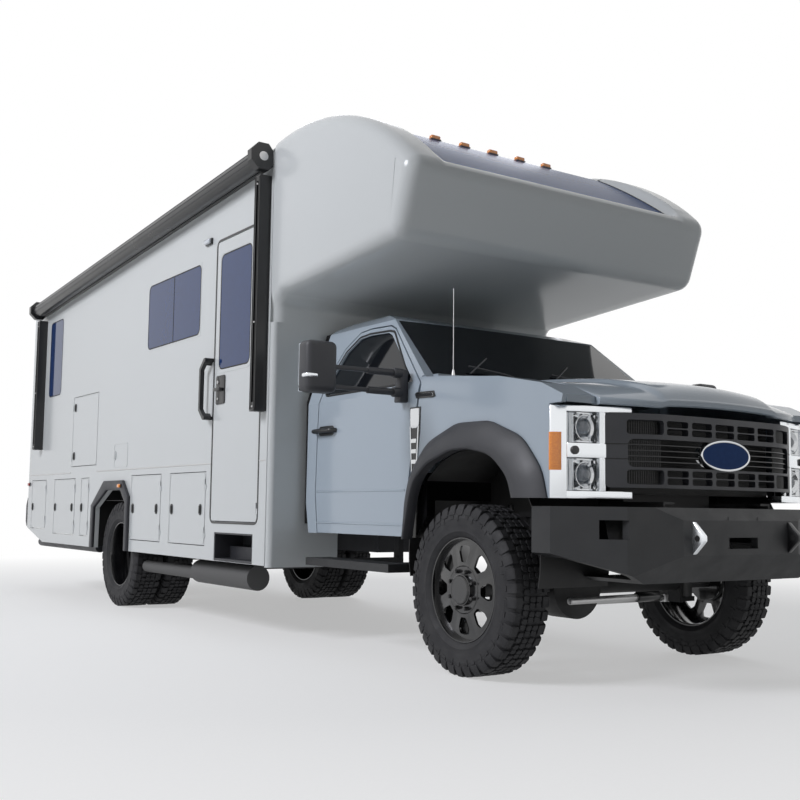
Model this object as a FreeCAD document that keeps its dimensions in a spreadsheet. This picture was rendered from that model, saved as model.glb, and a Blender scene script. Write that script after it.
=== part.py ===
import FreeCAD, Part
import math
import os

import Sketcher

# A class C motorhome on a lifted four-wheel-drive truck chassis, in millimetres.
# +X is the vehicle's left, +Y its rear and +Z up. The origin is on the ground, under the middle
# of the overall length. Every piece is drawn with Y = 0 on the front axle and then moved there.

os.makedirs("parts", exist_ok=True)
document = FreeCAD.newDocument("motorhome")
sheet = document.addObject("Spreadsheet::Sheet", "sizes")

SIZES = {
    # Chassis
    "wheelbase": 4910,
    "front_overhang": 1148,
    "rear_overhang": 2997,
    "frame_half_width": 430,
    "frame_top": 960,
    "rail_height": 230,
    "rail_flange": 80,
    "rail_wall": 12,
    "axle_tube_radius": 55,
    "diff_radius": 185,
    "diff_offset": 260,
    "kingpin_x": 770,
    "kingpin_radius": 20,
    "knuckle_radius": 48,
    "knuckle_height": 190,
    "yoke_gap": 0.4,
    "steer_arm_reach": 170,
    "tie_rod_radius": 22,
    "spindle_radius": 45,
    # Wheels
    "tyre_radius": 470,
    "tyre_width": 262,
    "tread_width": 206,
    "shoulder_drop": 22,
    "rim_radius": 288,
    "rim_width": 216,
    "rim_wall": 14,
    "hub_radius": 92,
    "front_wheel_x": 917,
    "dual_spacing": 285,
    "rear_outer_wheel_x": 1092,
    "fit_gap": 0.3,
    # House
    "body_half_width": 1270,
    "wall": 38,
    "skirt_bottom": 510,
    "rear_skirt_bottom": 655,
    "departure_start": 7157,
    "house_seam": 1898,
    "house_front": 1850,
    "house_rear": 7767,
    "roof_front_top": 3450,
    "roof_rear_top": 3175,
    "roof_thickness": 60,
    "flare_thickness": 30,
    "floor_top": 1235,
    "floor_thickness": 45,
    "panel_gap": 6,
    # Front cap
    "cap_bottom": 2188,
    "cap_front_low": 325,
    "cap_front_high": 190,
    "cap_wall": 40,
    "cap_panel_thickness": 18,
    "cap_panel_half_width": 985,
    # Front end
    "grille_half_width": 752,
    # Cab
    "cab_half_width": 1016,
    "cab_front": 395,
    "firewall": 35,
    "cab_floor_top": 1010,
    "cab_rear": 1790,
    "cab_floor": 740,
    "cab_roof": 2195,
    "belt_height": 1620,
    "tumblehome": 0.3,
    "door_thickness": 88,
    "door_skin": 30,
    "door_axis_inset": 4,
    "door_axis_y": 501.3,
    "hinge_pin_radius": 4,
    "door_hinge_base": 1278,
    "flare_slope": 45,
    "hatch_pin_radius": 4.5,
    "hatch_pin_inset": 11,
    "hatch_pin_proud": 5,
    "house_door_thickness": 30,
    "frame_thickness": 36,
    "door_gap": 9,
    "glass_thickness": 6,
    # Awning
    "awning_front": 1905,
    "awning_rear": 7390,
    "awning_front_drop": 94,
    "awning_rear_drop": 127,
    "awning_radius": 72,
    "awning_stand_off": 82,
}

for row, (alias, number) in enumerate(SIZES.items(), start=1):
    sheet.set(f"A{row}", alias)
    sheet.set(f"B{row}", str(number))
    sheet.setAlias(f"B{row}", alias)
document.recompute()


class Measure:
    """A length that keeps its number beside its expression on the sheet."""

    def __init__(self, number, text):
        self.number = float(number)
        self.text = text

    def __add__(self, other):
        other = measure(other)
        return Measure(self.number + other.number, f"({self.text} + {other.text})")

    def __sub__(self, other):
        other = measure(other)
        return Measure(self.number - other.number, f"({self.text} - {other.text})")

    def __mul__(self, other):
        other = measure(other)
        return Measure(self.number * other.number, f"({self.text} * {other.text})")

    def __truediv__(self, other):
        other = measure(other)
        return Measure(self.number / other.number, f"({self.text} / {other.text})")

    def __radd__(self, other):
        return measure(other) + self

    def __rsub__(self, other):
        return measure(other) - self

    def __rmul__(self, other):
        return measure(other) * self

    def __neg__(self):
        return Measure(-self.number, f"(0 - {self.text})")

    def __float__(self):
        return self.number


def measure(value):
    """Give a plain number the same form as a size of the sheet."""
    if isinstance(value, Measure):
        return value
    return Measure(value, f"({float(value)!r})")


def size(alias):
    """Read one size of the sheet."""
    return Measure(sheet.get(alias), f"sizes.{alias}")


S = {alias: size(alias) for alias in SIZES}
AXLE_LINE = (S["front_overhang"] - S["wheelbase"] - S["rear_overhang"]) / 2
REAR_AXLE = S["wheelbase"]
HALF = S["body_half_width"]
INNER = HALF - S["wall"]
AWNING_FRONT_HEIGHT = S["roof_front_top"] - S["awning_front_drop"]
AWNING_REAR_HEIGHT = S["roof_rear_top"] - S["awning_rear_drop"]
SIDES = (("left", 1), ("right", -1))

PLANES = {"side": ("YZ_Plane", 1), "front": ("XZ_Plane", -1), "plan": ("XY_Plane", 1)}
nodes = {}


def finish(item, label):
    """Name a sub-part and move it from the front axle's frame to the vehicle's."""
    item.Label = label
    item.setExpression("Placement.Base.y", AXLE_LINE.text)
    nodes[label] = item
    return item


def span(side, inner, outer):
    """Low and high X of a stretch that lies between two distances from the middle."""
    return (measure(inner), measure(outer)) if side > 0 else (-measure(outer), -measure(inner))


class Piece:
    """One PartDesign body, built from sketches whose points are bound to the sheet."""

    def __init__(self, name):
        self.body = document.addObject("PartDesign::Body", name)
        self.tip = None

    def sketch(self, plane, offset):
        role = PLANES[plane][0]
        sketch = self.body.newObject("Sketcher::SketchObject", "outline")
        origin = next(item for item in self.body.Origin.OriginFeatures if item.Role == role)
        sketch.AttachmentSupport = [(origin, "")]
        sketch.MapMode = "FlatFace"
        sketch.setExpression("AttachmentOffset.Base.z", measure(offset).text)
        return sketch

    def draw(self, sketch, points):
        """Add a closed outline of straight lines, each corner held by two bound lengths."""
        first = sketch.GeometryCount
        corners = [(measure(across), measure(up)) for across, up in points]
        count = len(corners)
        for index, (across, up) in enumerate(corners):
            after, above = corners[(index + 1) % count]
            start = FreeCAD.Vector(float(across), float(up), 0)
            end = FreeCAD.Vector(float(after), float(above), 0)
            sketch.addGeometry(Part.LineSegment(start, end), False)
        for index in range(count):
            following = first + (index + 1) % count
            sketch.addConstraint(Sketcher.Constraint("Coincident", first + index, 2, following, 1))
        for index, (across, up) in enumerate(corners):
            for kind, value in (("DistanceX", across), ("DistanceY", up)):
                number = sketch.addConstraint(
                    Sketcher.Constraint(kind, -1, 1, first + index, 1, float(value)))
                name = f"{kind}{first + index}"
                sketch.renameConstraint(number, name)
                sketch.setExpression(f"Constraints.{name}", value.text)

    def circle(self, sketch, centre, radius):
        """Add a circle that is held by its centre and its radius."""
        across, up = measure(centre[0]), measure(centre[1])
        place = FreeCAD.Vector(float(across), float(up), 0)
        shape = Part.Circle(place, FreeCAD.Vector(0, 0, 1), float(radius))
        index = sketch.addGeometry(shape, False)
        held = (("DistanceX", across), ("DistanceY", up))
        for kind, value in held:
            number = sketch.addConstraint(Sketcher.Constraint(kind, -1, 1, index, 3, float(value)))
            sketch.renameConstraint(number, f"{kind}{index}")
            sketch.setExpression(f"Constraints.{kind}{index}", value.text)
        number = sketch.addConstraint(Sketcher.Constraint("Radius", index, float(radius)))
        sketch.renameConstraint(number, f"Radius{index}")
        sketch.setExpression(f"Constraints.Radius{index}", measure(radius).text)

    def add(self, kind, sketch, length):
        feature = self.body.newObject(f"PartDesign::{kind}", kind.lower())
        feature.Profile = sketch
        feature.setExpression("Length", length.text)
        self.body.Tip = feature
        self.tip = feature
        return feature

    def pad(self, plane, points, low, high):
        low, high = measure(low), measure(high)
        sketch = self.sketch(plane, low if PLANES[plane][1] > 0 else -high)
        self.draw(sketch, points)
        self.add("Pad", sketch, high - low)
        return self

    def pocket(self, plane, points, low, high):
        low, high = measure(low), measure(high)
        sketch = self.sketch(plane, high if PLANES[plane][1] > 0 else -low)
        self.draw(sketch, points)
        self.add("Pocket", sketch, high - low)
        return self

    def rod(self, plane, centre, radius, low, high):
        low, high = measure(low), measure(high)
        sketch = self.sketch(plane, low if PLANES[plane][1] > 0 else -high)
        self.circle(sketch, centre, radius)
        self.add("Pad", sketch, high - low)
        return self

    def bore(self, plane, centre, radius, low, high):
        low, high = measure(low), measure(high)
        sketch = self.sketch(plane, high if PLANES[plane][1] > 0 else -low)
        self.circle(sketch, centre, radius)
        self.add("Pocket", sketch, high - low)
        return self

    def turn(self, points):
        """Turn an outline of (along X, radius) points about the X axis of the piece."""
        sketch = self.sketch("plan", 0)
        self.draw(sketch, points)
        feature = self.body.newObject("PartDesign::Revolution", "turned")
        feature.Profile = sketch
        feature.ReferenceAxis = (sketch, ["H_Axis"])
        feature.Angle = 360
        self.body.Tip = feature
        self.tip = feature
        return self

    def round(self, radius, wanted, kind="Fillet"):
        """Round or chamfer the straight edges whose middle and direction are wanted."""
        document.recompute()
        names = []
        for index, edge in enumerate(self.tip.Shape.Edges, start=1):
            start, end = edge.Vertexes[0].Point, edge.Vertexes[-1].Point
            if wanted((start + end) * 0.5, end - start):
                names.append(f"Edge{index}")
        feature = self.body.newObject(f"PartDesign::{kind}", kind.lower())
        feature.Base = (self.tip, names)
        feature.setExpression("Radius" if kind == "Fillet" else "Size", measure(radius).text)
        self.body.Tip = feature
        self.tip = feature
        return self


def along(axis, tolerance=0.5):
    """A test for edges that run along one axis, by its index."""
    others = [index for index in range(3) if index != axis]
    return lambda middle, run: all(abs(run[index]) < tolerance for index in others)


def rectangle(low_a, low_b, high_a, high_b):
    return [(low_a, low_b), (high_a, low_b), (high_a, high_b), (low_a, high_b)]


def block(name, low, high):
    """A bound box between two corners."""
    box = document.addObject("Part::Box", name)
    for key, axis, start, end in zip(("Length", "Width", "Height"), "xyz", low, high):
        start, end = measure(start), measure(end)
        box.setExpression(key, (end - start).text)
        box.setExpression(f"Placement.Base.{axis}", start.text)
    return box


def fuse(name, items):
    joined = document.addObject("Part::MultiFuse", name)
    joined.Shapes = items
    return joined


def group(name, items):
    held = document.addObject("Part::Compound", name)
    held.Links = items
    return held


def bodies(pieces):
    return [piece.body for piece in pieces]


# Chassis


def frame():
    """Two channel rails with cross members, open towards the middle."""
    outer, top = S["frame_half_width"], S["frame_top"]
    bottom, flange, wall = top - S["rail_height"], S["rail_flange"], S["rail_wall"]
    start, end = -S["front_overhang"] + 228, S["house_rear"] - 60
    rails = []
    for name, side in SIDES:
        channel = [(outer, bottom), (outer, top), (outer - flange, top),
                   (outer - flange, top - wall), (outer - wall, top - wall),
                   (outer - wall, bottom + wall), (outer - flange, bottom + wall),
                   (outer - flange, bottom)]
        points = [(measure(across) * side, up) for across, up in channel]
        rails.append(Piece(f"rail_{name}").pad("front", points, start, end).body)
    members = []
    stations = [-S["front_overhang"] + 300, measure(520), measure(1750), REAR_AXLE - 1450,
                REAR_AXLE - 620, REAR_AXLE + 620, S["house_rear"] - 900, S["house_rear"] - 140]
    for station in stations:
        low = (-outer + wall / 2, station, bottom + 40)
        members.append(block("cross_member", low, (outer - wall / 2, station + 80, top - 30)))
    return finish(fuse("frame", rails + members), "frame")


def front_axle():
    """A live beam axle with its differential off centre and a yoke round each kingpin."""
    pin, reach = S["kingpin_x"], S["knuckle_radius"] + 18
    half, gap = S["knuckle_height"] / 2, S["yoke_gap"]
    radius = S["tyre_radius"]
    tube = Piece("axle_tube").rod("side", (0, radius), S["axle_tube_radius"], -pin + reach,
                                  pin - reach)
    items = [tube.body]
    case = Piece("differential")
    case.rod("front", (-S["diff_offset"], radius), S["diff_radius"], -105, 85)
    items.append(case.body)
    for name, side in SIDES:
        low, high = span(side, pin - reach - 30, pin - reach)
        arm = Piece(f"yoke_{name}")
        arm.pad("side", rectangle(-50, radius - half - 35, 50, radius + half + 35), low, high)
        for base in (radius - half - gap - 30, radius + half + gap):
            ear_low, ear_high = span(side, pin - reach - 10, pin + S["knuckle_radius"])
            arm.pad("plan", rectangle(ear_low, -42, ear_high, 42), base, base + 30)
        items.append(arm.body)
        items += coil_spring(side)
    return finish(fuse("front_axle", items), "front_axle")


def coil_spring(side):
    """A coil on its axle perch, up to a tower that is bolted to the rail."""
    rail, top = S["frame_half_width"], S["frame_top"] - 90
    low, high = span(side, rail + 5, rail + 115)
    perch = block("coil_perch", (low, -58, S["tyre_radius"]),
                  (high, 58, S["tyre_radius"] + S["axle_tube_radius"] + 14))
    coil = Piece("coil").rod("plan", ((rail + 60) * side, 0), 50,
                             S["tyre_radius"] + S["axle_tube_radius"], top + 1)
    tower_low, tower_high = span(side, rail, rail + 125)
    tower = block("coil_tower", (tower_low, -70, top), (tower_high, 70, top + 30))
    return [perch, coil.body, tower]


def rear_axle():
    """A banjo axle; its tubes end inside the hubs of the dual wheels."""
    radius = S["tyre_radius"]
    end = S["rear_outer_wheel_x"] - S["dual_spacing"] / 2
    items = [Piece("rear_tube").rod("side", (REAR_AXLE, radius), S["axle_tube_radius"] + 10,
                                    -end + 145, end - 145).body]
    for side in (1, -1):
        low, high = span(side, end - 146, end + 20)
        items.append(Piece("rear_spindle").rod("side", (REAR_AXLE, radius), S["spindle_radius"],
                                               low, high).body)
    case = Piece("rear_differential")
    case.rod("front", (0, radius), S["diff_radius"] + 15, REAR_AXLE - 120, REAR_AXLE + 110)
    items.append(case.body)
    return finish(fuse("rear_axle", items + leaf_springs()), "rear_axle")


def leaf_springs():
    """The leaf packs over the rear axle; their ends meet the underside of the rails."""
    rail = S["frame_half_width"]
    bottom = S["frame_top"] - S["rail_height"]
    items = []
    for side in (1, -1):
        low, high = span(side, rail - 80, rail)
        seat = S["tyre_radius"] + S["axle_tube_radius"] + 8
        leaf = Piece("leaf_pack")
        leaf.pad("side", [(REAR_AXLE - 720, bottom), (REAR_AXLE - 60, seat + 60),
                          (REAR_AXLE - 60, seat), (REAR_AXLE + 60, seat),
                          (REAR_AXLE + 60, seat + 60), (REAR_AXLE + 720, bottom),
                          (REAR_AXLE + 640, bottom), (REAR_AXLE + 60, seat + 100),
                          (REAR_AXLE - 60, seat + 100), (REAR_AXLE - 640, bottom)], low, high)
        items.append(leaf.body)
    return items


def engine_block():
    top = S["belt_height"] - 170
    half = S["frame_half_width"] - S["rail_flange"] - S["fit_gap"]
    low, high = (-half, -560, S["frame_top"] - 150), (half, S["cab_front"] - 130, top)
    return finish(group("engine_block", [block("engine", low, high)]), "engine_block")


def tanks():
    """The fuel tank, the holding tank behind the axle and a hose tube under the skirt."""
    top = S["frame_top"] - 40
    inner = S["frame_half_width"] - S["rail_flange"] - S["fit_gap"]
    fuel = Piece("fuel_tank").pad("front", [(-inner, top - 330), (inner, top - 330),
                                            (inner, top), (-inner, top)], 1900, 3350)
    holding = block("holding_tank", (-inner, REAR_AXLE + 800, top - 200),
                    (inner, REAR_AXLE + 1850, top))
    return finish(group("tanks", [fuel.body, holding, hose_tube()]), "tanks")


def exhaust():
    """A muffler under the passenger side and its tail pipe, which ends ahead of the duals."""
    height, out = measure(385), measure(1130)
    pipe = Piece("tail_pipe").rod("front", (-out, height), 50, 3300, REAR_AXLE - 510)
    muffler = Piece("muffler").rod("front", (-out + 20, height + 15), 90, 2300, 3301)
    strap = block("exhaust_hanger", (-out, 2600, height + 60),
                  (-S["frame_half_width"] - 1, 2640, height + 110))
    post = block("exhaust_post", (-S["frame_half_width"] - 40, 2600, height + 60),
                 (-S["frame_half_width"], 2640, S["frame_top"] - 60))
    return finish(fuse("exhaust", [pipe.body, muffler.body, strap, post]), "exhaust")


def hose_tube():
    """A storage tube that hangs under the passenger skirt behind the duals."""
    tube = Piece("hose_barrel").rod("front", (-1150, 500), 46, REAR_AXLE + 700, 7560)
    tube.bore("front", (-1150, 500), 41, REAR_AXLE + 760, 7561)
    hangers = [block("tube_hanger", (-1160, station, 540), (-1140, station + 40, 1190))
               for station in (REAR_AXLE + 900, REAR_AXLE + 2300)]
    return fuse("hose_tube", [tube.body] + hangers)


# Wheels


def tyre_outline(centre):
    """Half section of a tyre as (along X, radius) points round its middle."""
    half, tread, radius = S["tyre_width"] / 2, S["tread_width"] / 2, S["tyre_radius"]
    shoulder, bead = radius - S["shoulder_drop"], S["rim_radius"] + S["fit_gap"]
    bead_half = S["rim_width"] / 2
    return [(centre - bead_half, bead), (centre + bead_half, bead), (centre + half, shoulder - 90),
            (centre + half - 6, shoulder), (centre + tread, radius), (centre - tread, radius),
            (centre - half + 6, shoulder), (centre - half, shoulder - 90)]


def place_wheel(piece, station, label):
    piece.body.setExpression("Placement.Base.z", S["tyre_radius"].text)
    piece.body.setExpression("Placement.Base.y", (AXLE_LINE + station).text)
    piece.body.Label = label
    nodes[label] = piece.body
    return piece.body


def tyre(centre, name):
    return Piece(name).turn(tyre_outline(centre))


def rim_outline(centre, side, disc, dish):
    """Half section of a steel-style rim: barrel, disc and hub pad."""
    half, radius, wall = S["rim_width"] / 2, S["rim_radius"], S["rim_wall"]
    bore, hub = S["spindle_radius"] + 0.4, S["hub_radius"]
    out = centre + side * half
    inside = centre - side * half
    face, back = centre + side * disc, centre + side * (disc - 22)
    pad, pad_back = centre + side * dish, centre + side * (dish - 60)
    return [(inside, radius), (out, radius), (out, radius - wall), (face, radius - wall - 8),
            (pad, hub + 40), (pad, bore), (pad_back, bore), (pad_back, hub + 40),
            (back, radius - wall - 30), (inside, radius - wall)]


def wheels():
    """Steered front wheels, one tyre each, and dual rear wheels on common hubs."""
    spindle = S["spindle_radius"]
    for name, side in SIDES:
        centre = S["front_wheel_x"] * side
        place_wheel(tyre(centre, f"front_tyre_{name}"), 0, f"front_tyre_{name}")
        rim = Piece(f"front_rim_{name}").turn(rim_outline(centre, side, 88, 96))
        place_wheel(rim, 0, f"front_rim_{name}")
        outer = S["rear_outer_wheel_x"] * side
        inner = (S["rear_outer_wheel_x"] - S["dual_spacing"]) * side
        pair = [tyre(station, f"dual_tyre_{name}") for station in (outer, inner)]
        for piece in pair:
            piece.body.setExpression("Placement.Base.z", S["tyre_radius"].text)
            piece.body.setExpression("Placement.Base.y", REAR_AXLE.text)
        finish(group(f"rear_tyres_{name}", bodies(pair)), f"rear_tyres_{name}")
        outer_rim = Piece(f"outer_rim_{name}").turn(rim_outline(outer, side, -60, -75))
        inner_rim = Piece(f"inner_rim_{name}").turn(rim_outline(inner, side, 60, 75))
        low, high = span(side, S["rear_outer_wheel_x"] - S["dual_spacing"] + 74,
                         S["rear_outer_wheel_x"] - 134)
        for piece in (outer_rim, inner_rim):
            piece.body.setExpression("Placement.Base.z", S["tyre_radius"].text)
            piece.body.setExpression("Placement.Base.y", REAR_AXLE.text)
        hub = Piece(f"rear_hub_{name}").rod("side", (REAR_AXLE, S["tyre_radius"]),
                                            S["hub_radius"] + 30, low, high)
        hub.bore("side", (REAR_AXLE, S["tyre_radius"]), spindle + 0.4, low, high)
        cap_low, cap_high = span(side, S["rear_outer_wheel_x"] - 76, S["rear_outer_wheel_x"] - 5)
        cap = Piece(f"hub_cap_{name}").rod("side", (REAR_AXLE, S["tyre_radius"]),
                                           S["hub_radius"], cap_low, cap_high)
        items = bodies([outer_rim, inner_rim, hub, cap])
        finish(fuse(f"rear_rims_{name}", items), f"rear_rims_{name}")


def knuckles():
    """Steering knuckles that turn between the yoke ears, each with its spindle and arm."""
    radius, half = S["tyre_radius"], S["knuckle_height"] / 2
    pin = S["kingpin_x"]
    for name, side in SIDES:
        centre = pin * side
        body = Piece(f"knuckle_{name}").rod("plan", (centre, 0), S["knuckle_radius"],
                                            radius - half, radius + half)
        low, high = span(side, pin, S["front_wheel_x"] + 94)
        body.rod("side", (0, radius), S["spindle_radius"], low, high)
        arm_low, arm_high = span(side, pin - 24, pin + 24)
        body.pad("plan", [(arm_low, 0), (arm_high, 0), (arm_high, S["steer_arm_reach"] + 25),
                          (arm_low, S["steer_arm_reach"] + 25)], radius - half, radius - half + 26)
        finish(body.body, f"knuckle_{name}")


def tie_rod():
    """The rod behind the axle that joins the two steering arms."""
    radius = S["tyre_radius"] - S["knuckle_height"] / 2
    reach, pin = S["steer_arm_reach"], S["kingpin_x"]
    size_ = S["tie_rod_radius"]
    rod = Piece("track_rod").rod("side", (reach, radius - size_ - 1), size_, -pin + 20, pin - 20)
    items = [rod.body]
    for side in (1, -1):
        eye = Piece("rod_end").rod("plan", (pin * side, reach), 30, radius - 2 * size_ - 5,
                                   radius - S["fit_gap"])
        items.append(eye.body)
    return finish(fuse("tie_rod", items), "tie_rod")


# House


def roof_line(station, drop=0):
    """Height of the roof's top at a distance behind the front axle."""
    run = S["house_rear"] - S["house_seam"]
    fall = (S["roof_front_top"] - S["roof_rear_top"]) * (measure(station) - S["house_seam"]) / run
    return S["roof_front_top"] - fall - drop


BAY_TOP = 1176
RIGHT_BAYS = ((7077, 7629, 648), (6080, 6790, 610), (5655, 5900, 610), (3800, 4500, 610),
              (2900, 3617, 610))
LEFT_BAYS = ((5800, 6700, 610), (2900, 3700, 610))
RIGHT_WINDOWS = ((3100, 4215, 2255, 2820), (6690, 7130, 2068, 2890))
LEFT_WINDOWS = ((2500, 3700, 2255, 2820), (5900, 6900, 2255, 2820))
ENTRY = (2027, 2800, 799, 2930)
SERVICE = (5460, 6236, 1292, 2000)
STEP = (2087, 2725, 512, 720)
ARCH = ((-330, 0), (-330, 420), (-200, 539), (180, 539), (520, 380), (532, 0))


def side_wall(side, windows, bays, label):
    """One side wall in a single sheet, with its windows, doors, bays and arch cut through."""
    roof = S["roof_thickness"]
    outline = [(S["house_seam"], S["skirt_bottom"]), (S["departure_start"], S["skirt_bottom"]),
               (S["house_rear"], S["rear_skirt_bottom"]),
               (S["house_rear"], roof_line(S["house_rear"], roof)),
               (S["house_seam"], roof_line(S["house_seam"], roof))]
    low, high = span(side, INNER, HALF)
    wall = Piece(label).pad("side", outline, low, high)
    for start, end, bottom, top in windows:
        wall.pocket("side", rectangle(start, bottom, end, top), low, high)
    for start, end, bottom in bays:
        wall.pocket("side", rectangle(start, bottom, end, BAY_TOP), low, high)
    arch = [(REAR_AXLE + along_y, S["skirt_bottom"] - 1 + up) for along_y, up in ARCH]
    wall.pocket("side", arch, low, high)
    return wall


def hatch_hinges(side, edge, into, bottom, top, moving):
    """Two surface hinges at a hatch's edge: the wall's halves, or the moving halves."""
    radius, proud = S["hatch_pin_radius"], S["hatch_pin_proud"]
    axis_y = edge + into * S["hatch_pin_inset"]
    axis_x = (HALF + proud) * side
    items = []
    for base in (measure(bottom) + 60, measure(top) - 140):
        low_z = base + 40 + S["fit_gap"] if moving else base
        barrel = Piece("hatch_barrel").rod("plan", (axis_x, axis_y), radius, low_z, low_z + 40)
        reach = axis_y + (into if moving else -into) * 22
        start, end = (axis_y, reach) if float(reach) > float(axis_y) else (reach, axis_y)
        low, high = span(side, HALF, HALF + proud + 1)
        items += [barrel.body, block("hinge_leaf", (low, start, low_z), (high, end, low_z + 40))]
    return items


def house_walls():
    right = side_wall(-1, RIGHT_WINDOWS, RIGHT_BAYS, "house_wall_right")
    low, high = span(-1, INNER, HALF)
    for start, end, bottom, top in (ENTRY, SERVICE, STEP):
        right.pocket("side", rectangle(start, bottom, end, top), low, high)
    hinges = hatch_hinges(-1, ENTRY[0], 1, ENTRY[2], ENTRY[3], False)
    hinges += hatch_hinges(-1, SERVICE[1], -1, SERVICE[2], SERVICE[3], False)
    for start, end, bottom in RIGHT_BAYS:
        hinges += hatch_hinges(-1, start, 1, bottom, BAY_TOP, False)
    finish(fuse("house_wall_right", [right.body] + hinges), "house_wall_right")
    left = side_wall(1, LEFT_WINDOWS, LEFT_BAYS, "house_wall_left")
    hinges = []
    for start, end, bottom in LEFT_BAYS:
        hinges += hatch_hinges(1, start, 1, bottom, BAY_TOP, False)
    finish(fuse("house_wall_left", [left.body] + hinges), "house_wall_left")
    rear = Piece("house_wall_rear")
    top = roof_line(S["house_rear"] - S["wall"], S["roof_thickness"] + 4)
    rear.pad("front", rectangle(-INNER, S["rear_skirt_bottom"], INNER, top),
             S["house_rear"] - S["wall"], S["house_rear"])
    finish(rear.body, "house_wall_rear")


def house_front_panels():
    """The lower corner panels on each side of the cab, bent round to the side walls."""
    panels = []
    for name, side in SIDES:
        corner, inner = HALF * side, measure(723) * side
        back = (HALF - S["wall"]) * side
        plan = [(inner, S["house_front"]), (corner, S["house_front"]), (corner, S["house_seam"]),
                (back, S["house_seam"]), (back, S["house_front"] + S["wall"]),
                (inner, S["house_front"] + S["wall"])]
        panel = Piece(f"front_panel_{name}")
        panel.pad("plan", plan, S["skirt_bottom"] - 10, S["cap_bottom"])
        panel.round(38, lambda middle, run, x=float(corner): along(2)(middle, run)
                    and abs(middle.x - x) < 1 and abs(middle.y - float(S["house_front"])) < 1)
        panels.append(panel.body)
    return finish(group("house_front_panels", panels), "house_front_panels")


def house_floor():
    """The floor on bearers that stand on the frame."""
    top = S["floor_top"]
    under = top - S["floor_thickness"]
    start, end = S["house_front"] + S["wall"], S["house_rear"] - S["wall"]
    slab = block("floor_slab", (-INNER, start, under), (INNER, end, top))
    bearers = [block("floor_bearer", (-INNER + 260, station, S["frame_top"]),
                     (INNER - 260, station + 60, under))
               for station in (start + 120, REAR_AXLE - 1300, REAR_AXLE - 640, REAR_AXLE + 640,
                               REAR_AXLE + 1500, end - 260)]
    return finish(fuse("house_floor", [slab] + bearers), "house_floor")


def house_roof():
    thickness = S["roof_thickness"]
    outline = [(S["house_seam"], roof_line(S["house_seam"], thickness)),
               (S["house_rear"], roof_line(S["house_rear"], thickness)),
               (S["house_rear"], roof_line(S["house_rear"])),
               (S["house_seam"], roof_line(S["house_seam"]))]
    roof = Piece("house_roof").pad("side", outline, -HALF, HALF)
    roof.round(40, lambda middle, run: abs(run.x) < 1 and abs(run.y) > 100
               and middle.z > float(roof_line(middle.y)) - 1)
    return finish(roof.body, "house_roof")


def fixed_glass():
    """The windscreen and the fixed house windows, one pane each."""
    panes = []
    thickness = S["glass_thickness"]
    for side, windows in ((-1, RIGHT_WINDOWS), (1, LEFT_WINDOWS)):
        low, high = span(side, HALF - 12 - thickness, HALF - 12)
        for start, end, bottom, top in windows:
            gap = S["fit_gap"]
            points = rectangle(start + gap, bottom + gap, end - gap, top - gap)
            panes.append(Piece("house_pane").pad("side", points, low, high).body)
    panes.append(windscreen())
    return finish(group("fixed_glass", panes), "fixed_glass")


def entry_door():
    """The entry door with its window, and the pane that fills it."""
    start, end, bottom, top = ENTRY
    gap = S["panel_gap"]
    low, high = span(-1, HALF - S["house_door_thickness"], HALF)
    door = Piece("entry_door")
    door.pad("side", rectangle(start + gap, bottom + gap, end - gap, top - gap), low, high)
    window = (2200, 2726, 1935, 2820)
    door.pocket("side", rectangle(window[0], window[2], window[1], window[3]), low, high)
    hinges = hatch_hinges(-1, start, 1, bottom, top, True)
    finish(fuse("entry_door", [door.body] + hinges), "entry_door")
    fit = S["fit_gap"]
    pane_low, pane_high = span(-1, HALF - 12 - S["glass_thickness"], HALF - 12)
    pane = Piece("entry_door_glass")
    pane.pad("side", rectangle(window[0] + fit, window[2] + fit, window[1] - fit, window[3] - fit),
             pane_low, pane_high)
    finish(pane.body, "entry_door_glass")


def hatch(side, start, end, bottom, top, label, into=1):
    """A flush hinged door in a side wall."""
    gap = S["panel_gap"]
    low, high = span(side, HALF - S["house_door_thickness"], HALF)
    lid = Piece(label)
    lid.pad("side", rectangle(start + gap, bottom + gap, end - gap, top - gap), low, high)
    hinges = hatch_hinges(side, start if into > 0 else end, into, bottom, top, True)
    return finish(fuse(label, [lid.body] + hinges), label)


def hatches():
    for number, (start, end, bottom) in enumerate(RIGHT_BAYS, start=1):
        hatch(-1, start, end, bottom, BAY_TOP, f"bay_door_{number}")
    for number, (start, end, bottom) in enumerate(LEFT_BAYS, start=1):
        hatch(1, start, end, bottom, BAY_TOP, f"left_bay_door_{number}")
    start, end, bottom, top = SERVICE
    hatch(-1, start, end, bottom, top, "service_door", -1)


def entry_step():
    """Two treads in a well behind the skirt, below the entry door."""
    start, end, bottom, top = STEP
    fit = S["fit_gap"]
    well = Piece("step_well")
    well.pad("side", [(start + fit, bottom), (end - fit, bottom), (end - fit, top - fit),
                      (start + fit, top - fit)], -HALF + 2, -INNER + 240)
    well.pocket("front", [(-HALF - 1, bottom + 18), (-INNER + 90, bottom + 18),
                          (-INNER + 90, bottom + 105), (-INNER + 190, bottom + 105),
                          (-INNER + 190, top - 12), (-HALF - 1, top - 12)],
                start + 14, end - 14)
    return finish(well.body, "entry_step")


def grab_handle():
    """A bowed handle on the wall behind the entry door."""
    low, high = span(-1, HALF, HALF + 70)
    handle = Piece("grab_handle")
    handle.pad("side", [(2822, 1563), (2850, 1563), (2930, 1640), (2930, 1960), (2850, 2034),
                        (2822, 2034)], low, high)
    handle.pocket("side", [(2821, 1590), (2838, 1590), (2903, 1652), (2903, 1948), (2838, 2007),
                           (2821, 2007)], low, high)
    handle.pocket("side", rectangle(2865, 1500, 2940, 2100), -HALF - 38, -HALF)
    return finish(handle.body, "grab_handle")


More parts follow.
